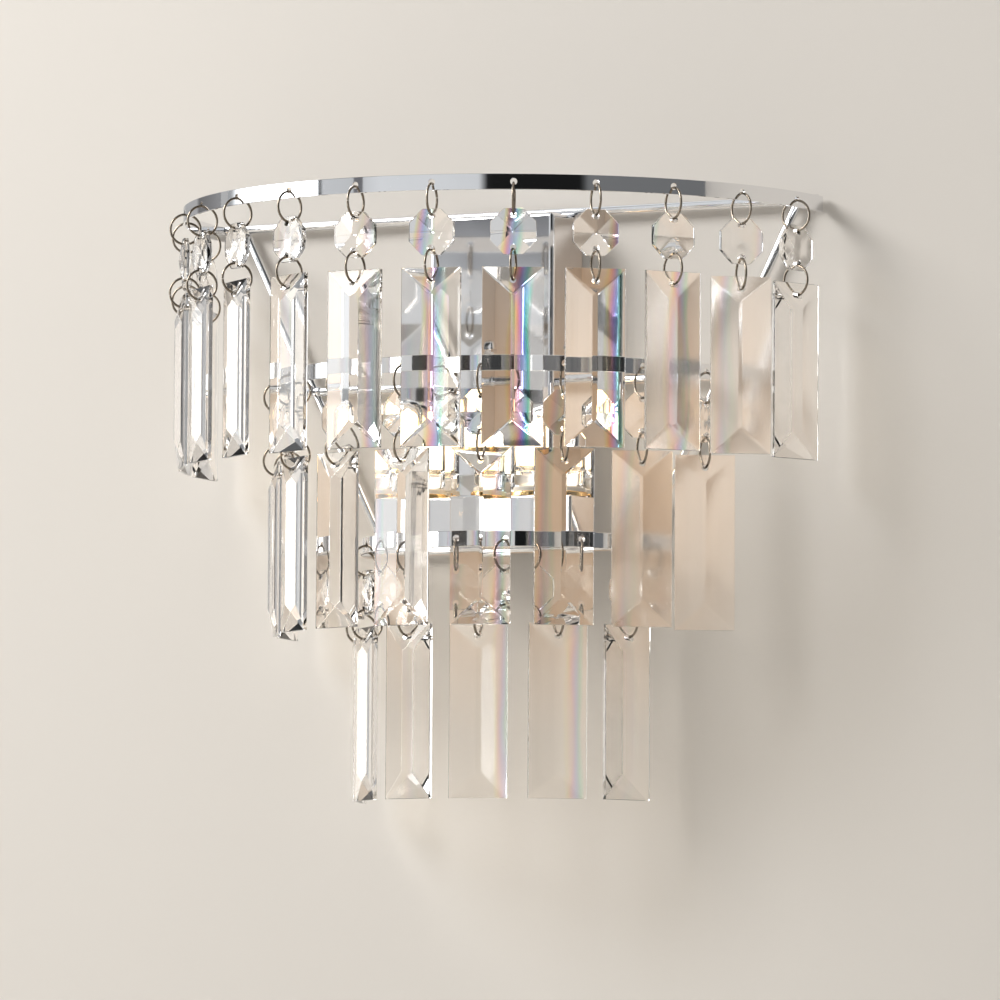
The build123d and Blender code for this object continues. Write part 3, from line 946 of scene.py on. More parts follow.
class AddPrisms(PieceOperator, bpy.types.Operator):
    """Add the long faceted prism of every droplet"""

    bl_idname = "wall_light.add_prisms"
    bl_label = "Long Prisms"

    def execute(self, context):
        mesh = self.prism_mesh()
        acrylic = material_for("polished_acrylic", make_acrylic)
        for joint in SWINGS:
            _, _, _, level = hanging_levels(joint)
            name = droplet_name(joint)
            place = hung(joint, level, 1.0)
            prism = add_piece(name + "_prism", mesh, acrylic, joint["child"], [name], place)
            # Share of the painted rainbow of dispersed light on this prism
            prism["fire"] = painted_rainbow_strength(joint)
            prism["milk"] = 1.0 if name in MILKY_DROPLETS else 0.0
        return {"FINISHED"}

    def prism_mesh(self):
        """A lozenge bar with hipped ends, hung from its top edge at 0."""
        look = droplet_settings()
        half_width = look.prism_width / 2
        points = []
        for depth in (-1, 1):
            for level in (0, -look.prism_length):
                for side in (-1, 1):
                    points.append((side * half_width, depth * look.prism_edge / 2, level))
            for level in (-look.prism_hip, -look.prism_length + look.prism_hip):
                points.append((0, depth * look.prism_thickness / 2, level))
        shape = bmesh.new()
        add_hull(shape, points)
        soften(shape, look.edge_softness)
        cutter = bmesh.new()
        reach = look.prism_thickness
        bore(cutter, (0, -reach, -look.prism_hole_drop), (0, reach, -look.prism_hole_drop), look.hole)
        return cut(to_mesh("long_prism", shape), cutter)


class AddBands(PieceOperator, bpy.types.Operator):
    """Add the three half round bands with their bores"""

    bl_idname = "wall_light.add_bands"
    bl_label = "Bands"

    def execute(self, context):
        for tier in TIERS:
            self.add_band(tier)
        return {"FINISHED"}

    def add_band(self, tier):
        look = metal_settings()
        node = tier + "_band"
        low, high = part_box(node)
        joints = [joint for joint in SWINGS if joint["name"].startswith(tier)]
        hole_places = [Vector(joint["pos_m"]) for joint in joints]
        radius = sum(Vector((p.x, p.y)).length for p in hole_places) / len(hole_places)
        thickness = 2 * (-low[1] - radius)
        level = (low[2] + high[2]) / 2
        shape = self.strip(radius, thickness, low, high, look.band_softness)
        cutter = bmesh.new()
        for point in hole_places:
            outward = Vector((point.x, point.y, 0)).normalized()
            centre = outward * radius + Vector((0, 0, level))
            reach = 3 * thickness * outward
            bore(cutter, centre - reach, centre + reach, look.band_hole)
        mesh = cut(to_mesh(node + "_strip", shape), cutter)
        set_normals(mesh, round_normal)
        add_piece(node + "_strip", mesh, chrome(), "root", [node])

    def strip(self, radius, thickness, low, high, softness):
        """A strip on edge with soft corners, swept from one end to the other."""
        half = thickness / 2
        outline = [
            (half, low[2] + softness), (half, high[2] - softness), (half - softness, high[2]),
            (softness - half, high[2]), (-half, high[2] - softness), (-half, low[2] + softness),
            (softness - half, low[2]), (half - softness, low[2]),
        ]
        start = asin(-high[1] / radius)
        facet = 0.003
        steps = int(2 * pi * radius / facet)
        reaches = [(radius + out, height) for out, height in outline]
        sections = []
        for step in range(steps + 1):
            turn = start + (pi - 2 * start) * step / steps
            sections.append([(reach * cos(turn), -reach * sin(turn), height) for reach, height in reaches])
        return swept(sections)


def round_normal(point, normal):
    """The normal of an upright round surface about the origin, out or in as the face is."""
    outward = Vector((point.x, point.y, 0)).normalized()
    return outward if outward.dot(normal) > 0 else -outward


class AddFrameRods(PieceOperator, bpy.types.Operator):
    """Add the crossbars, the struts and their welds"""

    bl_idname = "wall_light.add_frame_rods"
    bl_label = "Frame Rods"

    def execute(self, context):
        self.diameter = size_of("top_crossbar").z
        for node in ("top_crossbar", "bottom_crossbar"):
            low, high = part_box(node)
            centre = middle_of(node)
            start = Vector((low[0], centre.y, centre.z))
            end = Vector((high[0], centre.y, centre.z))
            shape = self.bar(start, end, self.diameter)
            self.add_rod(node, shape)
        for name, side in zip(SIDES, (-1, 1)):
            self.add_strut(name, side)
            self.add_middle_crossbar(name, side)
        return {"FINISHED"}

    def bar(self, start, end, diameter):
        shape = bmesh.new()
        merge(shape, bar_shape((end - start).length, diameter), along(start, end))
        return shape

    def weld(self, shape, centre, direction, diameter):
        """A low round seam of weld metal round a bar."""
        size = metal_settings().weld_size
        sunk = 0.0002
        inner = diameter / 2 - sunk
        steps = 6
        outline = [(inner, -2 * size)]
        for step in range(1, steps):
            turn = pi * step / steps
            outline.append((inner + size * sin(turn) + sunk, -2 * size * cos(turn)))
        outline.append((inner, 2 * size))
        merge(shape, turned_tube(outline, 24), along(centre, centre + direction))

    def add_rod(self, node, shape):
        mesh = to_mesh(node + "_rod", shape, radians(35))
        add_piece(node + "_rod", mesh, chrome(), "root", [node])

    def strut_ends(self, name, side):
        """The middle of a strut where it meets the top and bottom crossbars."""
        low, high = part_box(name + "_strut")
        top_rod = middle_of("top_crossbar")
        bottom_rod = middle_of("bottom_crossbar")
        half = self.strut_diameter(name) / 2
        outer = max(abs(low[0]), abs(high[0])) - half
        inner = min(abs(low[0]), abs(high[0])) + half
        top = Vector((side * outer, top_rod.y, top_rod.z))
        bottom = Vector((side * inner, bottom_rod.y, bottom_rod.z))
        return top, bottom

    def strut_diameter(self, name):
        return size_of(name + "_strut").y

    def add_strut(self, name, side):
        top, bottom = self.strut_ends(name, side)
        diameter = self.strut_diameter(name)
        shape = self.bar(top, bottom, diameter)
        way = (bottom - top).normalized()
        reach = self.diameter / 2
        self.weld(shape, top + way * reach, way, diameter)
        self.weld(shape, bottom - way * reach, way, diameter)
        self.add_rod(name + "_strut", shape)

    def add_middle_crossbar(self, name, side):
        node = name + "_middle_crossbar"
        low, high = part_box(node)
        centre = middle_of(node)
        near = min(abs(low[0]), abs(high[0])) * side
        far = max(abs(low[0]), abs(high[0])) * side
        start = Vector((near, centre.y, centre.z))
        end = Vector((far, centre.y, centre.z))
        shape = self.bar(start, end, self.diameter)
        top, bottom = self.strut_ends(name, side)
        share = (top.z - centre.z) / (top.z - bottom.z)
        crossing = top + (bottom - top) * share
        way = Vector((side, 0, 0))
        for offset in (-self.strut_diameter(name) / 2, self.strut_diameter(name) / 2):
            self.weld(shape, crossing + way * offset, way, self.diameter)
        self.weld(shape, start, way, self.diameter)
        self.add_rod(node, shape)


def soft_box(low, high, corner, segments=5):
    """A closed box with rounded edges."""
    shape = bmesh.new()
    add_block(shape, (Vector(high) + Vector(low)) / 2, Vector(high) - Vector(low))
    soften(shape, corner, segments)
    return shape


def stretched(low, high, axis, sign, reach):
    """Corners of a box drawn out on one side."""
    low = Vector(low)
    high = Vector(high)
    if sign > 0:
        high[axis] += reach
    else:
        low[axis] -= reach
    return low, high


def soft_shell(name, low, high, corner, wall, open_axis, open_sign, bores):
    """A sheet metal box with one open side, soft corners and bores."""
    inner_corner = max(corner - wall, 0.0002)
    sheet = Vector((wall, wall, wall))
    inner_low = Vector(low) + sheet
    inner_high = Vector(high) - sheet
    reach = 4 * corner
    mesh = to_mesh(name, soft_box(*stretched(low, high, open_axis, open_sign, reach), corner))
    inside = stretched(inner_low, inner_high, open_axis, open_sign, 3 * reach)
    mesh = cut(mesh, soft_box(*inside, inner_corner))
    beyond_low = Vector(low) - sheet
    beyond_high = Vector(high) + sheet
    if open_sign > 0:
        beyond_low[open_axis] = high[open_axis]
        beyond_high[open_axis] = high[open_axis] + 2 * reach
    else:
        beyond_high[open_axis] = low[open_axis]
        beyond_low[open_axis] = low[open_axis] - 2 * reach
    mesh = cut(mesh, soft_box(beyond_low, beyond_high, 0.1 * wall, 1))
    mesh = cut(mesh, bores)

    def nearest(point, normal):
        outer = corner_normal(point, low, high, corner, open_axis, open_sign)
        if outer.dot(normal) > 0.8:
            return outer
        return -corner_normal(point, inner_low, inner_high, inner_corner, open_axis, open_sign)

    set_normals(mesh, nearest)
    return mesh


def corner_normal(point, low, high, corner, open_axis, open_sign):
    """The outward normal of a soft cornered box near a point."""
    held = Vector(point)
    for axis in range(3):
        least = low[axis] + corner
        most = high[axis] - corner
        if axis == open_axis and open_sign > 0:
            most = high[axis] + corner
        if axis == open_axis and open_sign < 0:
            least = low[axis] - corner
        held[axis] = min(max(held[axis], least), most)
    return (Vector(point) - held).normalized()


class AddWallBox(PieceOperator, bpy.types.Operator):
    """Add the polished wall box with its soft corners"""

    bl_idname = "wall_light.add_wall_box"
    bl_label = "Wall Box"

    def execute(self, context):
        look = metal_settings()
        low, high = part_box("wall_box")
        screws = middle_of("cover_screws")
        foot = middle_of("foot_screws")
        head_radius = 0.0027
        cover_bore = 0.0044
        reach = 0.003
        spread = size_of("foot_screws").x / 2 - head_radius
        cutter = bmesh.new()
        for side in (-1, 1):
            edge = Vector((side * high[0], screws.y, screws.z))
            step = Vector((reach, 0, 0))
            bore(cutter, edge - step, edge + step, cover_bore)
            screw = Vector((side * spread, low[1], foot.z))
            step = Vector((0, reach, 0))
            bore(cutter, screw - step, screw + step, SCREW_BORE)
        mesh = soft_shell("wall_box_shell", low, high, look.box_corner, look.box_wall, 1, 1, cutter)
        add_piece("wall_box_shell", mesh, chrome(), "root", ["wall_box"])
        return {"FINISHED"}


class AddLampFoot(PieceOperator, bpy.types.Operator):
    """Add the lamp foot, the plate that closes it and its screws"""

    bl_idname = "wall_light.add_lamp_foot"
    bl_label = "Lamp Foot"

    def execute(self, context):
        look = metal_settings()
        low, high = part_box("lamp_foot")
        clearance = 0.0004
        step = Vector((0, 0, 0.003))
        cutter = bmesh.new()
        for name in LAMPS:
            centre = middle_of(name + "_lampholder")
            size = size_of(name + "_lampholder").x + clearance
            top = Vector((centre.x, centre.y, high[2]))
            bore(cutter, top - step, top + step, size, 40)
        mesh = soft_shell("lamp_foot_shell", low, high, look.foot_corner, look.foot_wall, 2, -1, cutter)
        add_piece("lamp_foot_shell", mesh, chrome(), "root", ["lamp_foot"])
        self.add_plate()
        self.add_screws()
        return {"FINISHED"}

    def add_plate(self):
        edge = 0.0002
        step = Vector((0, 0, 0.003))
        shape = bmesh.new()
        add_block(shape, middle_of("foot_plate"), size_of("foot_plate"))
        soften(shape, edge)
        cutter = bmesh.new()
        for place in self.plate_screw_places():
            bore(cutter, place - step, place + step, SCREW_BORE)
        mesh = cut(to_mesh("foot_plate_sheet", shape), cutter)
        add_piece("foot_plate_sheet", mesh, chrome(), "root", ["foot_plate"])

    def plate_screw_places(self):
        low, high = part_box("plate_screws")
        plate_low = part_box("foot_plate")[0]
        head = size_of("plate_screws").y
        y = (low[1] + high[1]) / 2
        return [Vector((x, y, plate_low[2])) for x in (low[0] + head / 2, high[0] - head / 2)]

    def add_screws(self):
        shape = bmesh.new()
        head = size_of("plate_screws").y
        slot_turns = (20, -35)
        for turn, place in zip(slot_turns, self.plate_screw_places()):
            turned = Matrix.Rotation(pi, 4, "X") @ Matrix.Rotation(radians(turn), 4, "Z")
            screw = pan_head(head, head_height=0.0018, shank=0.003, length=0.006)
            merge(shape, screw, Matrix.Translation(place) @ turned)
        mesh = to_mesh("plate_screw_pair", shape, radians(35))
        add_piece("plate_screw_pair", mesh, chrome(), "root", ["plate_screws"])


def pan_head(head, head_height, shank, length):
    """A slotted pan head screw along Z with its seat at 0."""
    radius = head / 2
    tip = 0.0003
    rim = 0.0001
    profile = [(0, -length), (shank / 2 - tip, -length), (shank / 2, -length + tip), (shank / 2, 0)]
    profile += [(radius - rim, 0), (radius, rim)]
    steps = 7
    for step in range(steps + 1):
        turn = pi / 2 * step / steps
        out = radius - 0.35 * radius * (1 - cos(turn))
        profile.append((out, head_height * (0.35 + 0.65 * sin(turn))))
    profile.append((0, head_height))
    mesh = to_mesh("pan_head", turned_shape(profile, 32)[0])
    slot = bmesh.new()
    add_block(slot, (0, 0, head_height), Vector((2.4 * radius, 0.17 * head, head_height)))
    mesh = cut(mesh, slot)
    shape = bmesh.new()
    shape.from_mesh(mesh)
    bpy.data.meshes.remove(mesh)
    return shape


class AddLampholders(PieceOperator, bpy.types.Operator):
    """Add the ceramic lampholders and their gold collars"""

    bl_idname = "wall_light.add_lampholders"
    bl_label = "Lampholders"

    def execute(self, context):
        ceramic = material_for("porous_ceramic", make_ceramic)
        gold = material_for("gold_plate", make_gold)
        collars = bmesh.new()
        for name in LAMPS:
            node = name + "_lampholder"
            mesh = self.holder_mesh(node)
            add_piece(node + "_body", mesh, ceramic, "root", [node])
            merge(collars, self.collar_shape(node))
        mesh = to_mesh("gold_collars", collars, radians(40))
        add_piece("gold_collars", mesh, gold, "root", ["holder_collars"])
        return {"FINISHED"}

    def holder_mesh(self, node):
        low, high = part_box(node)
        centre = middle_of(node)
        radius = (high[0] - low[0]) / 2
        height = high[2] - low[2]
        soft = 0.0005
        profile = [(0, 0), (radius - soft, 0), (radius, soft), (radius, height - 1.6 * soft)]
        profile += [(radius - 0.5 * soft, height - 0.4 * soft), (radius - 1.6 * soft, height), (0, height)]
        shape = turned_shape(profile, 40)[0]
        shape.transform(Matrix.Translation((centre.x, centre.y, low[2])))
        cutter = bmesh.new()
        base_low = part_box(node.replace("_lampholder", "_lamp_base"))[0]
        socket_bore = 0.0022
        spare_depth = 0.0004
        for x in (centre.x - PIN_SPACING / 2, centre.x + PIN_SPACING / 2):
            bottom = Vector((x, centre.y, base_low[2] - spare_depth))
            bore(cutter, bottom, Vector((x, centre.y, high[2] + 0.002)), socket_bore, 16)
        mesh = cut(to_mesh(node + "_body", shape), cutter)
        shade(mesh, radians(35))
        return mesh

    def collar_shape(self, node):
        """A rolled ring that stands on the lamp foot round the holder."""
        low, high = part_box("holder_collars")
        centre = middle_of(node)
        outer = (high[1] - low[1]) / 2
        clearance = 0.0002
        inner = size_of(node).x / 2 + clearance
        height = high[2] - low[2]
        middle = (outer + inner) / 2
        half = (outer - inner) / 2
        outline = [(inner, 0), (outer, 0)]
        steps = 8
        for step in range(steps + 1):
            turn = pi * step / steps
            outline.append((middle + half * cos(turn), height * 0.55 + height * 0.45 * sin(turn)))
        shape = turned_tube(outline, 48)
        shape.transform(Matrix.Translation((centre.x, centre.y, low[2])))
        return shape


class AddLamps(PieceOperator, bpy.types.Operator):
    """Add the capsule lamps: glass tube, glowing burner, pinch and pins"""

    bl_idname = "wall_light.add_lamps"
    bl_label = "Capsule Lamps"

    def execute(self, context):
        glass = material_for("quartz_glass", make_lamp_glass)
        glow = material_for("burner_glow", make_glow)
        metal = material_for("pin_metal", make_pin_metal)
        for name in LAMPS:
            node = name + "_lamp_glass"
            low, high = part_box(node)
            centre = middle_of(node)
            place = Matrix.Translation((centre.x, centre.y, low[2]))
            body = name + "_lamp"
            height = high[2] - low[2]
            radius = (high[0] - low[0]) / 2
            tube = self.tube_mesh(node, radius, height)
            add_piece(node + "_tube", tube, glass, body, [node], place)
            burner = self.burner_mesh(name, radius, height)
            add_piece(name + "_lamp_burner", burner, glow, body, [node], place)
            self.add_base(name, place, metal)
        return {"FINISHED"}

    def dome(self, radius, base, height, steps=9):
        """Outline points of a rounded end, from its rim to its tip."""
        points = []
        for step in range(steps):
            turn = pi / 2 * step / steps
            points.append((radius * cos(turn), base + height * sin(turn)))
        points.append((0, base + height))
        return points

    def tube_mesh(self, node, radius, height):
        """Drawn tube, closed over the pinch at its foot, with a short pip on top."""
        wall = lamp_settings().glass_wall
        pip = 0.0007
        dome_height = 0.8 * radius
        shoulder = height - pip - dome_height
        outer = [(0, 0.0001), (0.55 * radius, 0), (0.9 * radius, 0.0004), (radius, 0.0014)]
        outer += self.dome(radius, shoulder, dome_height)[:-2]
        outer += [(0.16 * radius, height - 0.9 * pip), (0.1 * radius, height - 0.3 * pip), (0, height)]
        inner_radius = radius - wall
        inner = [(0, 0.007), (0.5 * inner_radius, 0.0064), (inner_radius, 0.008)]
        inner += self.dome(inner_radius, shoulder, dome_height - wall)
        shape = turned_shape(outer, 40)[0]
        merge(shape, turned_shape(inner, 40)[0])
        point_faces(shape, lambda face: -1 if self.is_inner(face, inner_radius, height) else 1)
        mesh = plain_mesh(node + "_tube", shape)
        shade(mesh, radians(50))
        return mesh

    def is_inner(self, face, inner_radius, height):
        """Whether a face of the tube lies on its inner wall."""
        centre = face.calc_center_median()
        across = Vector((centre.x, centre.y)).length
        return across <= inner_radius * 1.0005 and 0.0055 < centre.z < height - 0.0014

    def burner_mesh(self, name, radius, height):
        """The inner capsule, which glows all over."""
        burner = lamp_settings().burner_diameter / 2
        bottom = 0.0078
        tip_gap = 0.0052
        top = height - tip_gap
        dome_height = 0.8 * burner
        profile = [(0, bottom), (0.6 * burner, bottom + 0.0004), (0.9 * burner, bottom + 0.0014)]
        profile += self.dome(burner, top - dome_height, dome_height)
        shape = turned_shape(profile, 32)[0]
        return to_mesh(name + "_lamp_burner", shape, radians(60))

    def add_base(self, name, place, metal):
        """The pinch foils in the glass foot and the two pins."""
        node = name + "_lamp_base"
        low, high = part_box(node)
        glass_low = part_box(name + "_lamp_glass")[0]
        pin_length = glass_low[2] - low[2]
        foil_thickness = 0.0006
        foil = Vector(((high[0] - low[0]) * 0.9, foil_thickness, (high[2] - glass_low[2]) * 0.8))
        pin_diameter = 0.0014
        overlap = 0.001
        shape = bmesh.new()
        add_block(shape, (0, 0, foil_thickness + foil.z / 2), foil)
        soften(shape, 0.0001)
        for x in (-PIN_SPACING / 2, PIN_SPACING / 2):
            pin = bar_shape(pin_length + overlap, pin_diameter, 16, 0.0004)
            merge(shape, pin, Matrix.Translation((x, 0, -pin_length)))
        mesh = to_mesh(node + "_pins", shape, radians(35))
        add_piece(node + "_pins", mesh, metal, name + "_lamp", [node], place)


def point_faces(shape, sign_of):
    """Points each face of a turned shape away from its axis, or towards it where the sign is negative."""
    shape.normal_update()
    bmesh.ops.recalc_face_normals(shape, faces=shape.faces[:])
    shape.normal_update()
    for face in shape.faces:
        centre = face.calc_center_median()
        away = Vector((centre.x, centre.y, 0))
        if away.length < 1e-9:
            continue
        if abs(face.normal.z) < 0.999 and away.dot(face.normal) * sign_of(face) < 0:
            face.normal_flip()


class AddBracket(PieceOperator, bpy.types.Operator):
    """Finish the wall bracket and add its cover screws and cable bush"""

    bl_idname = "wall_light.add_bracket"
    bl_label = "Wall Bracket"

    def execute(self, context):
        finish_node("wall_bracket", zinc())
        self.add_cover_screws()
        self.add_grommet()
        return {"FINISHED"}

    def add_cover_screws(self):
        box_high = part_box("wall_box")[1]
        screws = middle_of("cover_screws")
        low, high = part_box("cover_screws")
        head_height = high[0] - box_high[0]
        shape = bmesh.new()
        for side, turn in ((-1, 50), (1, 15)):
            seat = Vector((side * box_high[0], screws.y, screws.z))
            place = along(seat, seat + Vector((side, 0, 0))) @ Matrix.Rotation(radians(turn), 4, "Z")
            screw = pan_head(high[2] - low[2], head_height, shank=0.004, length=0.005)
            merge(shape, screw, place)
        mesh = to_mesh("cover_screw_pair", shape, radians(35))
        add_piece("cover_screw_pair", mesh, chrome(), "root", ["cover_screws"])

    def add_grommet(self):
        low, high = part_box("cable_grommet")
        centre = middle_of("cable_grommet")
        lip = (high[2] - low[2]) / 2
        depth = high[1] - low[1]
        plate = 0.0015
        bore_radius = 0.0045
        sleeve = 0.0064
        soft = 0.0003
        outline = [(bore_radius + soft, 0), (sleeve, 0), (sleeve, plate)]
        outline += [(lip - soft, plate), (lip, plate + soft)]
        outline += [(lip, depth - 2 * soft), (lip - 2 * soft, depth), (bore_radius + 0.0005, depth)]
        outline += [(bore_radius, depth - 0.0005), (bore_radius, soft)]
        shape = turned_tube(outline, 48)
        start = Vector((centre.x, high[1], centre.z))
        shape.transform(along(start, start - Vector((0, 1, 0))))
        mesh = to_mesh("cable_bush", shape, radians(40))
        rubber = material_for("black_rubber", make_rubber)
        add_piece("cable_bush", mesh, rubber, "root", ["cable_grommet"])


class FinishElectrics(PieceOperator, bpy.types.Operator):
    """Finish the terminal block, the nuts and screws and the earth post"""

    bl_idname = "wall_light.finish_electrics"
    bl_label = "Electrics"

    def execute(self, context):
        finish_node("terminal_block", material_for("moulded_plastic", make_white_plastic))
        finish_node("earth_post", material_for("turned_brass", make_brass))
        for node in ("terminal_screws", "foot_screws", "foot_nuts"):
            finish_node(node, zinc())
        return {"FINISHED"}


def finish_node(node, material):
    """Gives a CAD node that stays in view its material."""
    piece = frame["nodes"][node]
    for slot in piece.material_slots:
        slot.material = material
    if not piece.material_slots:
        raise RuntimeError(node + " has no material slot")


# Stage
STUDIO_LIGHT = (1.0, 0.985, 0.96)
KEY_PLACE = (-1.2, -1.3, 1.1)
KEY_SIZE = 0.8
KEY_AIM = (0, 0, -0.03)
CAMERA_AIM = (-0.0089, 0, -0.0488)

# How far right on the wall it starts for what shines, with a painted dark reflection to its left, and where
# its painted shade there stops
WALL_START = (-0.33, -0.3)
SHADE_END = (-0.2, -0.165)

# The middle of the painted warm glow of the lamps on the wall, seen in what shines and through the prisms,
# and how far it reaches
WARM_MIDDLE = (0.02, 0.0, -0.03)
WARM_REACH = (0.035, 0.12)

# Soft boxes and cards round the room: angle from the right towards the front, and brightness
ROOM_CARDS = (
    (-40, 0.45), (-16, 0.17), (39, 0.19), (41.5, 0.012), (73.5, 0.012),
    (76, 0.75), (110, 0.8), (120.5, 0.62), (132.4, 0.66), (132.9, 0.01),
    (134.2, 0.01), (134.7, 1.0), (173, 1.0), (177, 0.45), (180, 0.4),
)

# A small flag above the line of sight, and the bright softbox: the same angles, heights from -1 to 1
FLAG_TURN = (116.5, 120.0)
FLAG_ELEVATION = 6.1
SOFTBOX_START = 134.7
SOFTBOX_FADE = (154, 178)
SOFTBOX_HEIGHT = (-0.35, 0.75)


def make_wall_paint(nodes):
    """Matt wall paint with a fine roller texture. From behind it lets the light be seen. In what shines and
    shows through the prisms it carries painted shade on its left, a painted dark reflection past its left
    edge and a painted warm glow of the lamps.
    """
    look = stage_settings()
    roller = nodes.noise(180.0, detail=4.0)
    mottle = nodes.noise(3.0, detail=2.0)
    x = nodes.across()
    glossy = nodes.ray("Is Glossy Ray")
    direct = 1 - nodes.scattered()
    mirrored = (glossy + nodes.ray("Is Transmission Ray")) * direct
    # 1 on the wall; to the left of it, what shines and shows through the prisms gets a painted dark
    # reflection
    on_wall = nodes.rise(x, *WALL_START)
    place = nodes.add("ShaderNodeTexCoord", output="Object")
    from_middle = {0: place, 1: WARM_MIDDLE}
    reach = nodes.add("ShaderNodeVectorMath", {"operation": "DISTANCE"}, from_middle, output="Value")
    soft_bands = nodes.noise(16.0, detail=1.0, stretch=(1.0, 1.0, 0.4))
    # Painted warm glow of the lamps near their middle, an emission seen only in what shines and through the
    # prisms
    painted_lamp_glow_mask = (1 - nodes.rise(reach, *WARM_REACH)) * (0.45 + 1.1 * soft_bands)
    glow = nodes.blend(painted_lamp_glow_mask, 0.03, look.glow_color)
    # Painted shade on the wall's left, seen only in what shines
    shaded = glossy * direct * (1 - nodes.rise(x, *SHADE_END))
    paint_and_painted_shade = nodes.blend(mottle, look.wall_color, dimmed(look.wall_color, 0.97))
    paint_and_painted_shade = nodes.blend(0.75 * shaded, paint_and_painted_shade, (0.2, 0.22, 0.26))
    paint = nodes.add("ShaderNodeBsdfPrincipled", {}, {
        "Base Color": nodes.blend(mirrored * (1 - on_wall), paint_and_painted_shade, (0.09, 0.09, 0.095)),
        "Emission Color": nodes.blend(mirrored * on_wall, 0.0, glow),
        "Emission Strength": 1.0,
        "Roughness": 0.8 + 0.1 * roller,
        "Normal": nodes.bump(roller, 0.12, 0.0006),
    })
    clear = nodes.add("ShaderNodeBsdfTransparent")
    back = nodes.add("ShaderNodeNewGeometry", output="Backfacing")
    nodes.surface(nodes.add("ShaderNodeMixShader", {}, {0: back, 1: paint, 2: clear}))


def make_floor(nodes):
    """Plain pale floor."""
    look = stage_settings()
    grain = nodes.noise(60.0, detail=3.0)
    nodes.coat({
        "Base Color": nodes.blend(grain, look.floor_color, dimmed(look.floor_color, 0.97)),
        "Roughness": 0.7 + 0.1 * grain,
    })


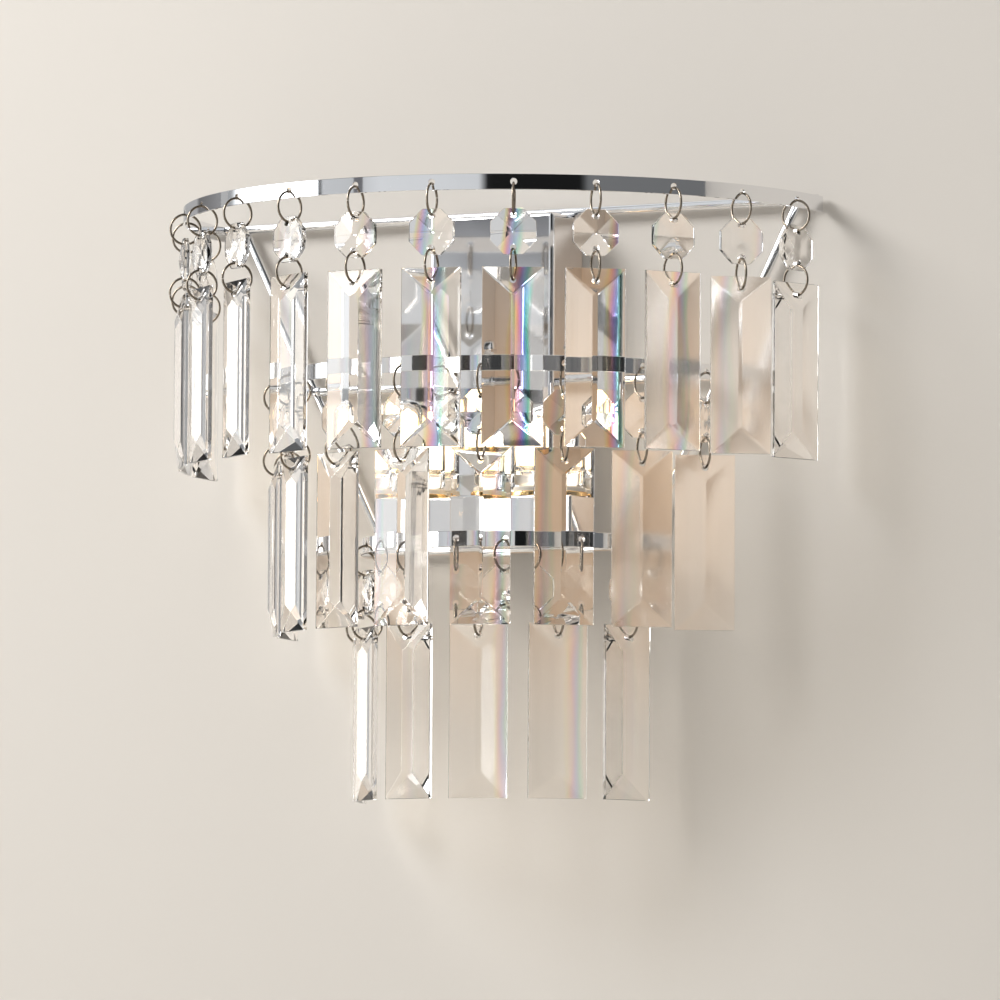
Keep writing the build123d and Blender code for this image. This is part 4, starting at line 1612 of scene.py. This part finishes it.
class SetStage(PieceOperator, bpy.types.Operator):
    """Set up the wall, the floor, the light and the camera"""

    bl_idname = "wall_light.set_stage"
    bl_label = "Stage"

    def execute(self, context):
        look = stage_settings()
        paint = material_for("wall_paint", make_wall_paint)
        floor = material_for("pale_floor", make_floor)
        self.add_sheet("stage_wall", (0, 0.0005, 0), radians(90), 3.0, paint)
        self.add_sheet("stage_floor", (0, -1.0, -look.floor_drop), 0.0, 4.0, floor)
        self.set_world()
        self.add_softbox("key_softbox")
        self.add_camera()
        context.scene.view_settings.view_transform = "Standard"
        return {"FINISHED"}

    def add_sheet(self, name, place, tilt, size, material):
        shape = bmesh.new()
        bmesh.ops.create_grid(shape, x_segments=8, y_segments=8, size=size / 2)
        shape.transform(Matrix.Translation(place) @ Matrix.Rotation(tilt, 4, "X"))
        mesh = plain_mesh(name, shape)
        mesh.materials.append(material)
        sheet = bpy.data.objects.new(name, mesh)
        bpy.context.scene.collection.objects.link(sheet)

    def add_softbox(self, name):
        lamp = bpy.data.lights.new(name, "AREA")
        lamp.shape = "SQUARE"
        lamp.size = KEY_SIZE
        lamp.energy = stage_settings().key_power
        lamp.color = STUDIO_LIGHT
        holder = bpy.data.objects.new(name, lamp)
        holder.matrix_world = self.facing(Vector(KEY_PLACE), Vector(KEY_AIM))
        bpy.context.scene.collection.objects.link(holder)

    def facing(self, place, aim):
        """A place from which -Z looks at the aim."""
        return Matrix.Translation(place) @ (aim - place).to_track_quat("-Z", "Y").to_matrix().to_4x4()

    def set_world(self):
        """Even pale light, with soft boxes and dark cards round the room for what shines."""
        look = stage_settings()
        world = bpy.data.worlds.new("studio")
        world.use_nodes = True
        world.cycles.sampling_method = "NONE"
        bpy.context.scene.world = world
        nodes = Nodes(world)
        x, y, z = nodes.parts(nodes.add("ShaderNodeTexCoord", output="Generated"))
        turn = nodes.add("ShaderNodeMath", {"operation": "ARCTAN2"}, {0: 0 - y, 1: x})
        share = turn / (2 * pi) + 0.5
        cards = nodes.add("ShaderNodeValToRGB", {"stops": room_stops()}, {0: share})
        flag = nodes.within(turn, *map(radians, FLAG_TURN)) * (z > sin(radians(FLAG_ELEVATION)))
        cards = nodes.blend(flag, cards, (0.16, 0.16, 0.17))
        softbox = (turn > radians(SOFTBOX_START)) * (1 - nodes.rise(turn, *map(radians, SOFTBOX_FADE)))
        softbox = softbox * nodes.within(z, *SOFTBOX_HEIGHT)
        by_camera = nodes.ray("Is Camera Ray")
        diffuse = nodes.scattered()
        seen = nodes.blend(by_camera, cards, look.wall_color)
        seen = nodes.blend(diffuse, seen, STUDIO_LIGHT)
        mirrored = (1 - diffuse) * (1 - by_camera)
        strength = look.ambient * diffuse + mirrored * (1 + look.softbox_gain * softbox) + by_camera
        light = nodes.add("ShaderNodeBackground", {}, {"Color": seen, "Strength": strength})
        nodes.add("ShaderNodeOutputWorld", {}, {"Surface": light})

    def add_camera(self):
        look = stage_settings()
        camera = bpy.data.cameras.new("camera")
        camera.lens = look.camera_lens
        camera.sensor_width = 36.0
        camera.clip_end = 20.0
        holder = bpy.data.objects.new("camera", camera)
        distance = look.camera_distance
        turn = look.camera_turn
        place = Vector((sin(turn) * distance, -cos(turn) * distance, look.camera_height))
        roll = Matrix.Rotation(look.camera_roll, 4, "Z")
        holder.matrix_world = self.facing(place, Vector(CAMERA_AIM)) @ roll
        bpy.context.scene.collection.objects.link(holder)
        bpy.context.scene.camera = holder


def room_stops():
    """The room's cards as positions on a ramp that runs once round."""
    stops = [(0.0, 0.5)]
    stops += [(angle / 360 + 0.5, (0.95 * grey, 0.975 * grey, grey)) for angle, grey in ROOM_CARDS]
    return stops


OPERATORS = (
    AddBands, AddFrameRods, AddJumpRings, AddBeads, AddPrisms, AddWallBox,
    AddLampFoot, AddLampholders, AddLamps, AddBracket, FinishElectrics, SetStage,
)
SETTINGS = {
    "droplet_settings": DropletSettings,
    "metal_settings": MetalSettings,
    "lamp_settings": LampSettings,
    "stage_settings": StageSettings,
}


class WallLightPanel(bpy.types.Panel):
    """Sizes, colours and pieces of the wall light"""

    bl_idname = "VIEW3D_PT_wall_light"
    bl_label = "Wall Light"
    bl_space_type = "VIEW_3D"
    bl_region_type = "UI"
    bl_category = "Wall Light"

    def draw(self, context):
        for name in SETTINGS:
            box = self.layout.box()
            group = getattr(context.scene, name)
            for value in group.__annotations__:
                box.prop(group, value)
        for operator in OPERATORS:
            self.layout.operator(operator.bl_idname)


def register():
    for group in SETTINGS.values():
        bpy.utils.register_class(group)
    for name, group in SETTINGS.items():
        setattr(bpy.types.Scene, name, PointerProperty(type=group))
    for operator in OPERATORS:
        bpy.utils.register_class(operator)
    bpy.utils.register_class(WallLightPanel)


def unregister():
    bpy.utils.unregister_class(WallLightPanel)
    for operator in reversed(OPERATORS):
        bpy.utils.unregister_class(operator)
    for name, group in SETTINGS.items():
        delattr(bpy.types.Scene, name)
        bpy.utils.unregister_class(group)


def call_operator(idname):
    group, name = idname.split(".")
    getattr(getattr(bpy.ops, group), name)()


def main():
    register()
    for operator in OPERATORS:
        call_operator(operator.bl_idname)


if __name__ == "__main__":
    main()
